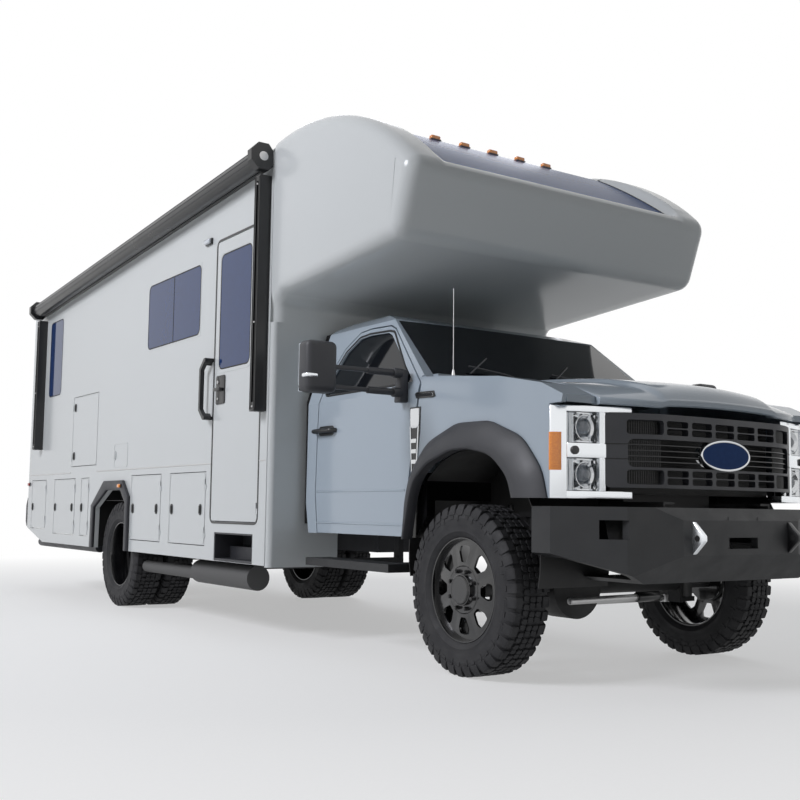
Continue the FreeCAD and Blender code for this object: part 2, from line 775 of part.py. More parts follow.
def awning_case():
    """The awning's roller case on its rail, with a faceted cap at each end."""
    run = S["awning_rear"] - S["awning_front"]
    fall = AWNING_FRONT_HEIGHT - AWNING_REAR_HEIGHT
    tilt = -math.degrees(math.atan2(float(fall), float(run)))
    out = -HALF - S["awning_stand_off"]
    case = Piece("awning_roller")
    radius = S["awning_radius"]
    case.rod("front", (0, 0), radius, 0, run)
    for base in (measure(-12), run - 48):
        reach = radius * 1.45
        points = [(reach * math.cos(math.radians(angle)), reach * math.sin(math.radians(angle)))
                  for angle in (68, 112, 158, 202, 248, 292)]
        inner = S["awning_stand_off"] - S["fit_gap"]
        points = [(inner, reach * 0.4)] + points + [(inner, -reach * 0.4)]
        case.pad("front", points, base, base + 60)
    back = S["awning_stand_off"] - S["fit_gap"]
    case.pad("front", rectangle(back - 33, -60, back, 40), 10, run - 10)
    case.pad("front", rectangle(0, -30, back, 10), 10, run - 10)
    item = case.body
    item.Placement = FreeCAD.Placement(FreeCAD.Vector(0, 0, 0),
                                       FreeCAD.Rotation(FreeCAD.Vector(1, 0, 0), tilt))
    item.setExpression("Placement.Base.x", out.text)
    item.setExpression("Placement.Base.z", AWNING_FRONT_HEIGHT.text)
    item.setExpression("Placement.Base.y", (AXLE_LINE + S["awning_front"]).text)
    item.Label = "awning_case"
    nodes["awning_case"] = item
    return item


def awning_height(station):
    """Height of the roller's axis at a distance behind the front axle."""
    run = S["awning_rear"] - S["awning_front"]
    fall = (AWNING_FRONT_HEIGHT - AWNING_REAR_HEIGHT) * (station - S["awning_front"])
    return AWNING_FRONT_HEIGHT - fall / run


def awning_arms():
    """The two flat arms, each a deep channel that stands against the wall."""
    arms = []
    for start, bottom in ((S["awning_front"] + 20, 1571), (S["awning_rear"] - 110, 1510)):
        top = awning_height(start + 40) - S["awning_radius"] - 46
        low, high = span(-1, HALF, HALF + 88)
        arm = Piece("awning_arm").pad("side", rectangle(start, bottom, start + 86, top), low, high)
        arm.pocket("side", rectangle(start + 30, bottom + 60, start + 56, top - 40),
                   -HALF - 89, -HALF - 60)
        arms.append(arm.body)
    return finish(group("awning_arms", arms), "awning_arms")


def body_lamps():
    """Roof markers, side markers, the porch lamp and the tail lamps."""
    lamps = []
    for offset in (-500, -250, 0, 250, 500):
        station, height = cap_point(0.504, 0.9624)
        lamps.append(block("roof_marker", (offset - 40, station, height),
                           (offset + 40, station + 38, height + 37)))
    flare = S["flare_thickness"]
    for station, height, proud in ((4700, 1085, flare), (7720, 1134, measure(0))):
        lamps.append(block("side_marker", (-HALF - proud - 24, station - 30, height - 18),
                           (-HALF - proud - S["fit_gap"], station + 30, height + 18)))
    lamps.append(block("porch_lamp", (-HALF - 40, 2896, 2940), (-HALF, 3016, 2990)))
    for side in (1, -1):
        low, high = span(side, 1010, 1150)
        lamps.append(block("tail_lamp", (low, S["house_rear"] + S["fit_gap"], 1040),
                           (high, S["house_rear"] + 30, 1230)))
    return finish(group("body_lamps", lamps), "body_lamps")


def rear_bumper():
    """A moulded bumper across the foot of the rear wall."""
    back = S["house_rear"]
    bumper = Piece("rear_bumper")
    bumper.pad("side", [(back + S["fit_gap"], 655), (back + 100, 668), (back + 140, 720),
                        (back + 140, 900), (back + 90, 985), (back + S["fit_gap"], 1005)],
               -HALF + 20, HALF - 20)
    bumper.bore("front", (0, 780), 26, back + 40, back + 141)
    return finish(bumper.body, "rear_bumper")


def roof_units():
    """The air conditioner and two roof vents."""
    items = []
    for start, end, half, rise in ((4300, 5050, 340, 215), (3000, 3420, 210, 90),
                                   (6500, 6920, 210, 90)):
        unit = Piece("roof_unit")
        unit.pad("side", [(start, roof_line(start)), (end, roof_line(end)),
                          (end - 60, roof_line(end) + rise), (start + 110, roof_line(start) + rise)],
                 -half, half)
        items.append(unit.body)
    return finish(group("roof_units", items), "roof_units")


# Front cap


def cap_point(reach, rise):
    """A point of the cap's side outline, by its shares of the cap's length and height."""
    face, nose = float(S["house_front"]), float(S["cap_front_high"])
    low, high = float(S["cap_bottom"]), float(S["roof_front_top"])
    return face - reach * (face - nose), low + rise * (high - low)


def cap_profile(drop=0):
    """Side outline of the cap's middle, under its ears, as plain points."""
    seam, low = float(S["house_seam"]), float(S["cap_bottom"])
    under = [cap_point(reach, rise) for reach, rise in
             ((0, 0.081), (0.021, 0.124), (0.066, 0.149), (0.873, 0.23))]
    chin = (float(S["cap_front_low"]), cap_point(0, 0.243)[1])
    over = [(along_y, up - drop) for along_y, up in
            (cap_point(0.934, 0.596), cap_point(0.506, 0.96), (seam, cap_point(0, 1)[1]))]
    return [(seam, low), cap_point(0, 0)] + under + [chin, cap_point(1, 0.54)] + over


def ear_profile():
    """Side outline of the whole cap with its ears."""
    curve = [cap_point(reach, rise) for reach, rise in
             ((1, 0.54), (0.97, 0.613), (0.801, 0.794), (0.614, 0.93), (0.471, 1), (0.32, 1.044),
              (0.162, 1.056))]
    return curve + [(float(S["house_seam"]), cap_point(0, 1.04)[1])]


def prism(points, low, high):
    """A solid from a side outline, between two distances across the vehicle."""
    wire = Part.makePolygon([FreeCAD.Vector(low, along_y, up) for along_y, up in points]
                            + [FreeCAD.Vector(low, *points[0])])
    return Part.Face(wire).extrude(FreeCAD.Vector(high - low, 0, 0))


def front_cap():
    """The moulded cap over the cab: a hollow shell with two raised ears."""
    half, wall = float(HALF), float(S["cap_wall"])
    low_part = cap_profile()[:8]
    outer = prism(low_part + ear_profile()[1:], -half, half)
    sides = [edge for edge in outer.Edges
             if abs(edge.Vertexes[0].X - edge.Vertexes[-1].X) < 1
             and abs(abs(edge.Vertexes[0].X) - half) < 1
             and min(edge.Vertexes[0].Y, edge.Vertexes[-1].Y) < float(S["house_front"]) - 60]
    sides = [edge for edge in sides if min(v.Y for v in edge.Vertexes) < 1700]
    outer = outer.makeFillet(55, sides)
    thick = float(S["cap_panel_thickness"])
    recess_half = float(S["cap_panel_half_width"]) + 6
    middle = cap_profile(thick)
    seam = float(S["house_seam"]) + 5
    top = cap_point(0, 1.3)[1]
    ahead = float(S["cap_front_high"]) - 90
    over = [middle[8], middle[9], cap_profile()[9], cap_profile()[10],
            (seam, cap_profile()[10][1]), (seam, top), (ahead, top), (ahead, middle[8][1] - 10)]
    outer = outer.cut(prism(over, -recess_half, recess_half))
    inner = [(along_y, up) for along_y, up in cap_profile(thick)]
    hollow = Part.makePolygon([FreeCAD.Vector(0, *point) for point in inner]
                              + [FreeCAD.Vector(0, *inner[0])])
    face = Part.Face(hollow)
    smaller = face.makeOffset2D(-wall)
    room = Part.Face(smaller.OuterWire).extrude(FreeCAD.Vector(2 * (half - wall), 0, 0))
    room.translate(FreeCAD.Vector(-(half - wall), 0, 0))
    sill, head = cap_point(0, 0.089)[1], cap_point(0, 0.946)[1]
    back = Part.makeBox(2 * (half - wall), wall + 80, head - sill,
                        FreeCAD.Vector(-(half - wall), float(S["house_seam"]) - wall - 40, sill))
    shell = outer.cut(room).cut(back)
    item = document.addObject("Part::Feature", "front_cap")
    item.Shape = shell
    return finish(item, "front_cap")


def cap_panel():
    """The dark panel that lies in the recess between the ears."""
    thick, half = float(S["cap_panel_thickness"]), float(S["cap_panel_half_width"])
    top = cap_profile()
    under = cap_profile(thick)
    points = [under[8], (under[9][0] - 2, under[9][1] - 1), (top[9][0] - 2, top[9][1] - 1), top[8]]
    item = document.addObject("Part::Feature", "cap_panel")
    item.Shape = prism(points, -half, half)
    return finish(item, "cap_panel")


# Cab


def lean(height):
    """How far the cab side has come in at a height above the belt."""
    return (measure(height) - S["belt_height"]) * S["tumblehome"]


ROOF_EDGE = measure(2120)
DOOR_LOWER = [(571, 735), (1632, 735), (1668, 1000), (1655, 1400), (1640, 1620), (444, 1620),
              (455, 1560), (559, 976)]
DOOR_UPPER = [(444, 1620), (1640, 1620), (1600, 1800), (1480, 1990), (1330, 2085), (1200, 2096),
              (960, 2086), (890, 2056), (444, 1662)]


def shrink(points, amount):
    """The same outline, moved in on every side by one gap."""
    wire = Part.makePolygon([FreeCAD.Vector(along_y, up, 0) for along_y, up in points]
                            + [FreeCAD.Vector(*points[0], 0)])
    smaller = Part.Face(wire).makeOffset2D(-amount, 2)
    return [(vertex.X, vertex.Y) for vertex in smaller.OuterWire.OrderedVertexes]


SCREEN_FOOT, SCREEN_HEAD = (425, 1700), (940, 2125)
OPENING_TOP = 2104


def screen_line(height):
    """Distance behind the front axle of the windscreen pillars' front at a height."""
    run = (SCREEN_HEAD[0] - SCREEN_FOOT[0]) / (SCREEN_HEAD[1] - SCREEN_FOOT[1])
    return SCREEN_FOOT[0] + (height - SCREEN_FOOT[1]) * run


def pillar_line(height):
    """Distance from the middle of the pillars' inner face at a height above the belt."""
    inner = float(S["cab_half_width"] - S["door_thickness"])
    high = float(S["cab_half_width"] - lean(2080) - S["frame_thickness"])
    belt = float(S["belt_height"])
    return inner + (high - inner) * (height - belt) / (2080 - belt)


def door_hinge(side, moving):
    """Half of a cab door's hinge in the gap ahead of the door: on the cab, or on the door."""
    radius, axis_y = S["hinge_pin_radius"], S["door_axis_y"]
    axis_x = S["cab_half_width"] - S["door_axis_inset"]
    height = measure(32 if moving else 15)
    bottom = S["door_hinge_base"] + (15 + S["fit_gap"] if moving else 0)
    barrel = Piece("hinge_barrel").rod("plan", (axis_x * side, axis_y), radius, bottom,
                                       bottom + height)
    if moving:
        low, high = span(side, axis_x - radius, axis_x)
        lug = block("hinge_lug", (low, axis_y, bottom), (high, axis_y + 15, bottom + height))
    else:
        low, high = span(side, S["cab_half_width"] - S["door_skin"] - 12, axis_x)
        lug = block("hinge_lug", (low, axis_y - radius, bottom), (high, axis_y, bottom + height))
    return [lug, barrel.body]


HOOD_AXIS = (326, 1628)


def hood_hinge(side, moving):
    """One hood hinge: the half on the cowl, or the half that hangs from the hood."""
    along_y, height = HOOD_AXIS
    start, end = (640, 670) if moving else (670 + S["fit_gap"], 700)
    low, high = span(side, start, end)
    barrel = Piece("hood_barrel").rod("side", (along_y, height), 7, low, high)
    bottom, top = (height, height + 20) if moving else (height - 14, height)
    leaf = block("hood_leaf", (low, along_y - 7, bottom), (high, along_y + 6, top))
    return [barrel.body, leaf]


def cab_shell():
    """The cab body: firewall, floor, sills, pillars, roof and back, open at doors and rear."""
    half, front, rear = S["cab_half_width"], S["cab_front"], S["cab_rear"]
    floor, roof, belt = S["cab_floor"], S["cab_roof"], S["belt_height"]
    deck, inner = S["cab_floor_top"], S["cab_half_width"] - S["door_thickness"]
    inside = front + S["firewall"]
    cab = Piece("cab_shell")
    cab.pad("side", [(front, floor + 130), (front + 105, floor), (rear - 40, floor),
                     (rear, floor + 200), (rear - 10, belt + 100), (rear - 40, roof - 40),
                     (rear - 280, roof), (1150, roof - 8), SCREEN_HEAD, SCREEN_FOOT,
                     (front, 1640)], -half, half)
    cab.pad("side", rectangle(front - 17, 1680, inside, 1711.7), -half + 91, half - 91)
    cab.pad("side", rectangle(front - 95, 1595, front + 1, 1619), -780, 780)
    cab.pad("side", rectangle(front - 17, 1595, front + 1, 1700), -780, 780)
    for name, side in SIDES:
        edge = (half - lean(ROOF_EDGE)) * side
        top = (half - lean(ROOF_EDGE) - 90) * side
        cab.pocket("front", [((half + 5) * side, belt), (half * side, belt), (edge, ROOF_EDGE),
                             (top, roof - 12), (measure(500) * side, roof + 20),
                             ((half + 5) * side, roof + 20)], 300, rear + 5)
        low, high = span(side, half - S["door_skin"] - S["fit_gap"], half + 5)
        cab.pocket("side", [(front - 5, floor - 5), (576, floor - 5), (564, 976), (460, 1560),
                            (446, 1625), (446, 1700), (front - 5, 1700)], low, high)
    cab.pocket("front", rectangle(-inner, floor - 5, inner, S["frame_top"] + S["fit_gap"]),
               front - 5, rear + 5)
    high = half - lean(2080) - S["frame_thickness"]
    cab.pocket("front", [(-inner, deck), (inner, deck), (inner, belt), (high, 2080),
                         (high - 60, OPENING_TOP), (-high + 60, OPENING_TOP), (-high, 2080),
                         (-inner, belt)], inside, rear - 50)
    for side in (1, -1):
        low, high_x = span(side, inner - 8, half + 10)
        cab.pocket("side", DOOR_LOWER, low, high_x)
        low, high_x = span(side, 600, half + 10)
        cab.pocket("side", DOOR_UPPER, low, high_x)
    cab.pocket("front", rectangle(-620, deck, 620, 2060), rear - 60, rear + 10)
    lugs = door_hinge(1, False) + door_hinge(-1, False)
    lugs += hood_hinge(1, False) + hood_hinge(-1, False)
    return finish(fuse("cab_shell", [cab.body] + lugs), "cab_shell")


def windscreen():
    """A bowed pane that lies against the front of the windscreen pillars."""
    thick, seat = float(S["glass_thickness"]), float(S["fit_gap"])
    wires = []
    for height, bow in ((1712, 52), (2112, 40)):
        half = pillar_line(height) + 10
        station = screen_line(height) - seat - thick
        left, right = FreeCAD.Vector(-half, station, height), FreeCAD.Vector(half, station, height)
        centre = FreeCAD.Vector(0, station - bow, height)
        back = FreeCAD.Vector(0, thick, 0)
        wires.append(Part.Wire([Part.Arc(left, centre, right).toShape(),
                                Part.makeLine(right, right + back),
                                Part.Arc(right + back, centre + back, left + back).toShape(),
                                Part.makeLine(left + back, left)]))
    item = document.addObject("Part::Feature", "windscreen")
    item.Shape = Part.makeLoft(wires, True, True)
    return item


def trim_front(points, limit):
    """The same outline without what lies ahead of a limit."""
    wire = Part.makePolygon([FreeCAD.Vector(along_y, up, 0) for along_y, up in points]
                            + [FreeCAD.Vector(*points[0], 0)])
    ahead = Part.makePlane(3000, 5000, FreeCAD.Vector(float(limit) - 3000, -1000, 0))
    rest = Part.Face(wire).cut(ahead)
    return [(vertex.X, vertex.Y) for vertex in rest.Faces[0].OuterWire.OrderedVertexes]


def cab_doors():
    """Front-hinged doors: a thick lower half, a thin leaning window frame, and the glass."""
    half, belt = S["cab_half_width"], S["belt_height"]
    gap, pillar = float(S["door_gap"]), S["frame_thickness"]
    lower = shrink(DOOR_LOWER, gap)
    lower = [(along_y, up if up < 1600 else 1620) for along_y, up in lower]
    upper = shrink(DOOR_UPPER, gap)
    upper = [(along_y, up if up > 1640 else 1619) for along_y, up in upper]
    window = shrink(DOOR_UPPER, gap + 42)
    for name, side in SIDES:
        door = Piece(f"cab_door_{name}")
        low, high = span(side, half - S["door_skin"], half)
        door.pad("side", lower, low, high)
        low, high = span(side, half - S["door_thickness"], half - S["door_skin"])
        door.pad("side", trim_front(lower, S["door_axis_y"] + 20), low, high)
        low, high = span(side, half - 260, half)
        door.pad("side", upper, low, high)
        top = measure(2120)
        door.pocket("front", [(half * side, belt), ((half + 5) * side, belt),
                              ((half + 5) * side, top), ((half - lean(top)) * side, top)],
                    300, 1800)
        inner = half - pillar
        door.pocket("front", [((half - 265) * side, belt - 1), (inner * side, belt - 1),
                              ((inner - lean(top)) * side, top), ((half - 265) * side, top)],
                    300, 1800)
        low, high = span(side, half - 280, half + 5)
        door.pocket("side", window, low, high)
        finish(fuse(f"cab_door_{name}", [door.body] + door_hinge(side, True)),
               f"cab_door_{name}")
        glass = Piece(f"cab_door_glass_{name}")
        pane = shrink(DOOR_UPPER, gap + 42.3)
        low, high = span(side, half - 280, half)
        glass.pad("side", pane, low, high)
        out = half - 14
        glass.pocket("front", [(out * side, belt), ((half + 5) * side, belt),
                               ((half + 5) * side, top), ((out - lean(top)) * side, top)],
                     300, 1800)
        inner = out - S["glass_thickness"]
        glass.pocket("front", [((half - 290) * side, belt - 1), (inner * side, belt - 1),
                               ((inner - lean(top)) * side, top), ((half - 290) * side, top)],
                     300, 1800)
        finish(glass.body, f"cab_door_glass_{name}")


def mirrors():
    """Towing mirrors, pulled out, each on two arms from the door's front corner."""
    for name, side in SIDES:
        mirror = Piece(f"mirror_{name}")
        low, high = span(side, 1540, 1740)
        mirror.pad("side", [(530, 1560), (610, 1560), (630, 1600), (630, 1830), (610, 1856),
                            (530, 1856), (500, 1800), (500, 1610)], low, high)
        for height in (1590, 1706):
            low, high = span(side, S["cab_half_width"] + 59, 1541)
            mirror.pad("side", rectangle(560, height, 588, height + 26), low, high)
        low, high = span(side, S["cab_half_width"] + S["fit_gap"], S["cab_half_width"] + 60)
        mirror.pad("side", [(558, 1545), (625, 1545), (605, 1745), (558, 1745)], low, high)
        finish(mirror.body, f"mirror_{name}")


def hood():
    """The hood panel: one crowned skin with a raised middle and a front lip."""
    stations = ((332, 1688, 1650), (-300, 1640, 1612), (-700, 1578, 1540), (-856, 1500, 1476))
    wires = []
    for station, middle, edge in stations:
        points = [(-790, edge), (-520, middle - 14), (-430, middle), (430, middle),
                  (520, middle - 14), (790, edge), (790, edge - 24), (430, middle - 24),
                  (-430, middle - 24), (-790, edge - 24)]
        corners = [FreeCAD.Vector(across, station, up) for across, up in points]
        wires.append(Part.makePolygon(corners + corners[:1]))
    item = document.addObject("Part::Feature", "hood_skin")
    item.Shape = Part.makeLoft(wires, True, True)
    hinges = hood_hinge(1, True) + hood_hinge(-1, True)
    return finish(fuse("hood", [item] + hinges), "hood")


def front_fenders():
    """Fenders: an outer skin with the wheel arch cut and a top flange to the hood."""
    items = []
    half = S["cab_half_width"]
    for name, side in SIDES:
        low, high = span(side, half - 30, half)
        skin = Piece(f"fender_{name}")
        skin.pad("side", [(430, 1690), (424, 1640), (446, 1560), (550, 976), (550, 966),
                          (490, 966), (455, 1080), (300, 1250), (80, 1330), (-200, 1330),
                          (-430, 1230), (-590, 1080), (-620, 972), (-700, 972), (-700, 1448),
                          (-790, 1450), (-800, 1490), (-640, 1560), (-300, 1625)], low, high)
        low, high = span(side, 797, half - 29)
        skin.pad("side", [(340, 1690), (-300, 1625), (-640, 1560), (-800, 1490), (-800, 1452),
                          (-650, 1524), (-300, 1590), (340, 1652)], low, high)
        items.append(skin.body)
    return finish(group("front_fenders", items), "front_fenders")


def links(points, face):
    """A test for edges that join two of the points of a side outline, at one distance across."""
    def wanted(middle, run):
        ends = (middle - run * 0.5, middle + run * 0.5)
        near = [any(math.hypot(end.y - along_y, end.z - up) < 1 for along_y, up in points)
                for end in ends]
        return all(near) and abs(middle.x - face) < 1 and abs(run.x) < 1
    return wanted


def fender_flares():
    """Dark flares round all four arches, thickest at the arch's edge."""
    items = []
    half = S["cab_half_width"]
    for name, side in SIDES:
        low, high = span(side, half + 0.3, half + 70)
        flare = Piece(f"front_flare_{name}")
        outer = [(553, 731), (547, 966), (500, 1130), (330, 1300), (60, 1392), (-230, 1390),
                 (-500, 1290), (-650, 1120), (-690, 972)]
        inner = [(-473, 972), (-440, 1080), (-300, 1200), (-100, 1240), (60, 1236), (280, 1170),
                 (400, 1080), (447, 966), (500, 731)]
        flare.pad("side", outer + inner, low, high)
        flare.round(S["flare_slope"], links(outer, float(half + 70) * side), "Chamfer")
        items.append(flare.body)
        low, high = span(side, HALF + S["fit_gap"], HALF + S["flare_thickness"])
        base = S["skirt_bottom"]
        rear = Piece(f"rear_flare_{name}")
        inner = [(REAR_AXLE + along_y, base + up) for along_y, up in ARCH]
        outer = [(REAR_AXLE + 600, base), (REAR_AXLE + 590, base + 400), (REAR_AXLE + 250, base + 625),
                 (REAR_AXLE - 240, base + 625), (REAR_AXLE - 395, base + 480), (REAR_AXLE - 395, base)]
        rear.pad("side", inner + outer, low, high)
        items.append(rear.body)
    return finish(group("fender_flares", items), "fender_flares")


def grille():
    """The grille: a deep plate with two rows of paired openings round a long middle slot."""
    width, low, high = S["grille_half_width"] - S["fit_gap"], 1029, 1409
    plate = Piece("grille").pad("front", [(-width, low), (width, low), (width, high),
                                          (-width, high)], -815, -770)
    for base in (low + 20, low + 256):
        for column in range(5):
            left = -545 + column * 222
            for lift in (0, 56):
                plate.pocket("front", rectangle(left, base + lift, left + 202, base + lift + 46),
                             -816, -769)
    for lift in (0, 35, 70, 105):
        plate.pocket("front", rectangle(-560, low + 138 + lift, 560, low + 138 + lift + 26),
                     -816, -769)
    plate.pad("front", [(150 * math.cos(math.radians(angle)),
                         1220 + 82 * math.sin(math.radians(angle)))
                        for angle in range(0, 360, 20)], -840, -790)
    return finish(plate.body, "grille")


def headlamps():
    """C-shaped lamp surrounds at the corners and the lamp blocks inside them."""
    surrounds, lenses = [], []
    half, edge = S["cab_half_width"], S["grille_half_width"]
    for name, side in SIDES:
        low, high = span(side, S["grille_half_width"], half)
        surround = Piece(f"lamp_surround_{name}")
        surround.pad("plan", [(edge * side, -800), ((half - 31) * side, -790),
                              (half * side, -710), (half * side, -700.3),
                              (edge * side, -700.3)], 971, 1440)
        surround.pocket("front", rectangle(low + (1 if side > 0 else 40), 1005,
                                           high - (40 if side > 0 else 1), 1408), -830, -700)
        surrounds.append(surround.body)
        lens = Piece(f"lamp_lens_{name}")
        near, far = (edge + 1 + S["fit_gap"]) * side, (half - 46) * side
        lens.pad("plan", [(near, -786), (far, -776), (far, -702), (near, -702)], 1005.3, 1407.7)
        lenses.append(lens.body)
    finish(group("headlamp_surrounds", surrounds), "headlamp_surrounds")
    finish(group("headlamp_lenses", lenses), "headlamp_lenses")


def front_bumper():
    """A folded steel bumper with wings, lamp holes, a winch slot and two tow tabs."""
    side_view = [(-1030, 931), (-1080, 868), (-1080, 690), (-960, 548), (-560, 548), (-560, 931)]
    plan_view = [(-430, -1090), (430, -1090), (760, -985), (1010, -700), (1010, -560),
                 (-1010, -560), (-1010, -700), (-760, -985)]
    front_view = [(-600, 540), (600, 540), (1020, 700), (1020, 940), (-1020, 940), (-1020, 700)]

    def solid(points, place, run):
        corners = [FreeCAD.Vector(*place(point)) for point in points]
        return Part.Face(Part.makePolygon(corners + corners[:1])).extrude(FreeCAD.Vector(*run))

    shape = solid(side_view, lambda p: (-1100, p[0], p[1]), (2200, 0, 0))
    shape = shape.common(solid(plan_view, lambda p: (p[0], p[1], 500), (0, 0, 500)))
    shape = shape.common(solid(front_view, lambda p: (p[0], -1200, p[1]), (0, 700, 0)))
    inside = shape.copy()
    inside.translate(FreeCAD.Vector(0, 45, 0))
    shape = shape.cut(inside.common(Part.makeBox(1900, 600, 340, FreeCAD.Vector(-950, -1035, 570))))
    rails = float(S["frame_half_width"]) + 12
    shape = shape.cut(Part.makeBox(2 * rails, 500, 500, FreeCAD.Vector(-rails, -928, 500)))
    shape = shape.cut(Part.makeBox(230, 200, 58, FreeCAD.Vector(-115, -1150, 722)))
    for side in (1, -1):
        hole = Part.makeBox(100, 260, 95, FreeCAD.Vector(side * 800 - 50, -1100, 770))
        shape = shape.cut(hole)
        tab = Part.Face(Part.makePolygon([FreeCAD.Vector(side * 370, *point) for point in
                                          ((-1040, 860), (-1082, 858), (-1148, 790), (-1148, 765),
                                           (-1082, 700), (-1040, 700), (-1040, 860))]))
        plate = tab.extrude(FreeCAD.Vector(side * 26, 0, 0))
        eye = Part.makeCylinder(16, 60, FreeCAD.Vector(side * 350, -1112, 778),
                                FreeCAD.Vector(side, 0, 0))
        shape = shape.fuse(plate).cut(eye)
        arm = Part.makeBox(65, 200, 110, FreeCAD.Vector(side * 385 - 32.5, -1060, 750))
        shape = shape.fuse(arm)
    item = document.addObject("Part::Feature", "front_bumper")
    item.Shape = shape
    return finish(item, "front_bumper")


def running_boards():
    """A step board below each cab door on two brackets from the frame."""
    items = []
    for side in (1, -1):
        low, high = span(side, S["cab_half_width"] - 116, S["cab_half_width"] + 74)
        board = block("board", (low, 640, 528), (high, 1645, 578))
        bracket_low, bracket_high = span(side, S["frame_half_width"] - 1, S["cab_half_width"] - 115)
        brackets = [block("board_bracket", (bracket_low, station, 540),
                          (bracket_high, station + 60, 575)) for station in (820, 1450)]
        post_low, post_high = span(side, S["frame_half_width"], S["frame_half_width"] + 40)
        posts = [block("board_post", (post_low, station, 540),
                       (post_high, station + 60, S["frame_top"] - 40)) for station in (820, 1450)]
        items.append(fuse("running_board", [board] + brackets + posts))
    return finish(group("running_boards", items), "running_boards")


def cab_interior():
    """Dashboard with its steering wheel, and the two front seats."""
    front = S["cab_front"] + S["firewall"]
    inner = measure(860)
    dash = Piece("dashboard")
    dash.pad("side", [(front + S["fit_gap"], 1330), (front + 260, 1330), (front + 300, 1500),
                      (front + 200, 1600), (front + S["fit_gap"], 1640)], -inner, inner)
    dash.rod("front", (410, 1480), 30, front + 250, front + 420)
    dash.rod("front", (410, 1480), 190, front + 415, front + 445)
    dash.bore("front", (410, 1480), 165, front + 430, front + 446)
    items = [dash.body]
    floor = S["cab_floor_top"]
    for side in (1, -1):
        low, high = span(side, 150, 670)
        seat = Piece("cab_seat")
        seat.pad("side", [(1010, floor), (1440, floor), (1470, floor + 300), (1610, floor + 820),
                          (1560, floor + 1010), (1470, floor + 1010), (1360, floor + 420),
                          (950, floor + 400), (940, floor + 290), (1010, floor + 260)], low, high)
        items.append(seat.body)
    return finish(group("cab_interior", items), "cab_interior")


def build():
    for make in (frame, front_axle, rear_axle, engine_block, tanks, exhaust, wheels, knuckles, tie_rod, house_walls, house_front_panels, house_floor,
                 house_roof, fixed_glass, entry_door, hatches, entry_step, grab_handle,
                 awning_case, awning_arms, body_lamps, rear_bumper, roof_units, front_cap,
                 cap_panel, cab_shell, cab_doors, mirrors, hood, front_fenders, fender_flares,
                 grille, headlamps, front_bumper, running_boards, cab_interior):
        make()
    document.recompute()


def check():
    """Stop before anything is written if a feature failed or a shape is not sound."""
    for item in document.Objects:
        if "Invalid" in item.State or "Error" in item.State:
            raise RuntimeError(f"{item.Name} ({item.Label}) failed: {item.State}")
    for label, item in nodes.items():
        if item.Shape.isNull() or not item.Shape.isValid() or not item.Shape.Solids:
            raise RuntimeError(f"{label} has no sound shape")


build()
check()
for label, item in nodes.items():
    item.Shape.exportStep(f"parts/{label}.step")
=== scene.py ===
"""A class C motorhome on a lifted truck chassis: the finishes and fine pieces over its frame."""

from __future__ import annotations

import logging
import math
from dataclasses import dataclass
from enum import Enum
from typing import Iterable, Sequence

import bmesh
import bpy
from mathutils import Matrix, Vector


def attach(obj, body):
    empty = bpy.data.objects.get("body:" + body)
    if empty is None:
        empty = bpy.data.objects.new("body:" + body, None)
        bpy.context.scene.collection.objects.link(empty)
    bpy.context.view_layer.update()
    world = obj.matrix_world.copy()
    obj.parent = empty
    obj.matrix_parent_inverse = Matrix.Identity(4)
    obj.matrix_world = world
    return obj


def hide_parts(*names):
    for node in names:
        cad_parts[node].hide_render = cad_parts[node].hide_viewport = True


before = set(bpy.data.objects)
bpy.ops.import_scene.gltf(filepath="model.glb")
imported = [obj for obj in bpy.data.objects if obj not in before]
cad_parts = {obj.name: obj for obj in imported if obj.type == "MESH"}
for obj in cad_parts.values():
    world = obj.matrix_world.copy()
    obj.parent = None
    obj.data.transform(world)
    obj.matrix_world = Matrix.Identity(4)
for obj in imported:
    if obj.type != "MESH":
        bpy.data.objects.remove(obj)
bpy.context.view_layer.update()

LOG = logging.getLogger("motorhome")
NODES: dict[str, bpy.types.Object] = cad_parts

Point = Sequence[float]
Colour = tuple[float, float, float, float]
# An opening in the vehicle's side: start, end, bottom and top in millimetres.
Opening = tuple[float, float, float, float]

# Metres: where the front axle and the dual rear axle lie along the vehicle.
FRONT_AXLE = -3.3795
REAR_AXLE = FRONT_AXLE + 4.910

# Metres: middle, radius and half width of the front wheel arches.
ARCH_MIDDLE = (0.0, FRONT_AXLE - 0.012, 0.655)
ARCH_RADIUS = 0.62
ARCH_HALF_WIDTH = 1.0125

# A colour Mix node's sockets: its two colours, and its result.
MIX_FIRST, MIX_SECOND, MIX_RESULT = 6, 7, 2
COAT_ROUGHNESS = 0.06


class Axis(Enum):
    """The three directions of the vehicle's frame."""

    X = 0
    Y = 1
    Z = 2


class Side(Enum):
    """Which side of the vehicle a piece is on."""

    LEFT = 1
    RIGHT = -1

    @property
    def word(self) -> str:
        """Give the side's name as the nodes use it.

        Returns:
            The name in lower case.
        """
        return self.name.lower()


# Finishes


def linear(hex_colour: str) -> Colour:
    """Turn an sRGB hex colour into a linear one.

    Args:
        hex_colour: Six hex digits, such as "a3a9ac".

    Returns:
        Linear red, green, blue and an alpha of one.
    """
    parts = [int(hex_colour[start:start + 2], 16) / 255 for start in (0, 2, 4)]
    red, green, blue = (
        part / 12.92 if part <= 0.04045 else ((part + 0.055) / 1.055) ** 2.4 for part in parts
    )
    return red, green, blue, 1.0


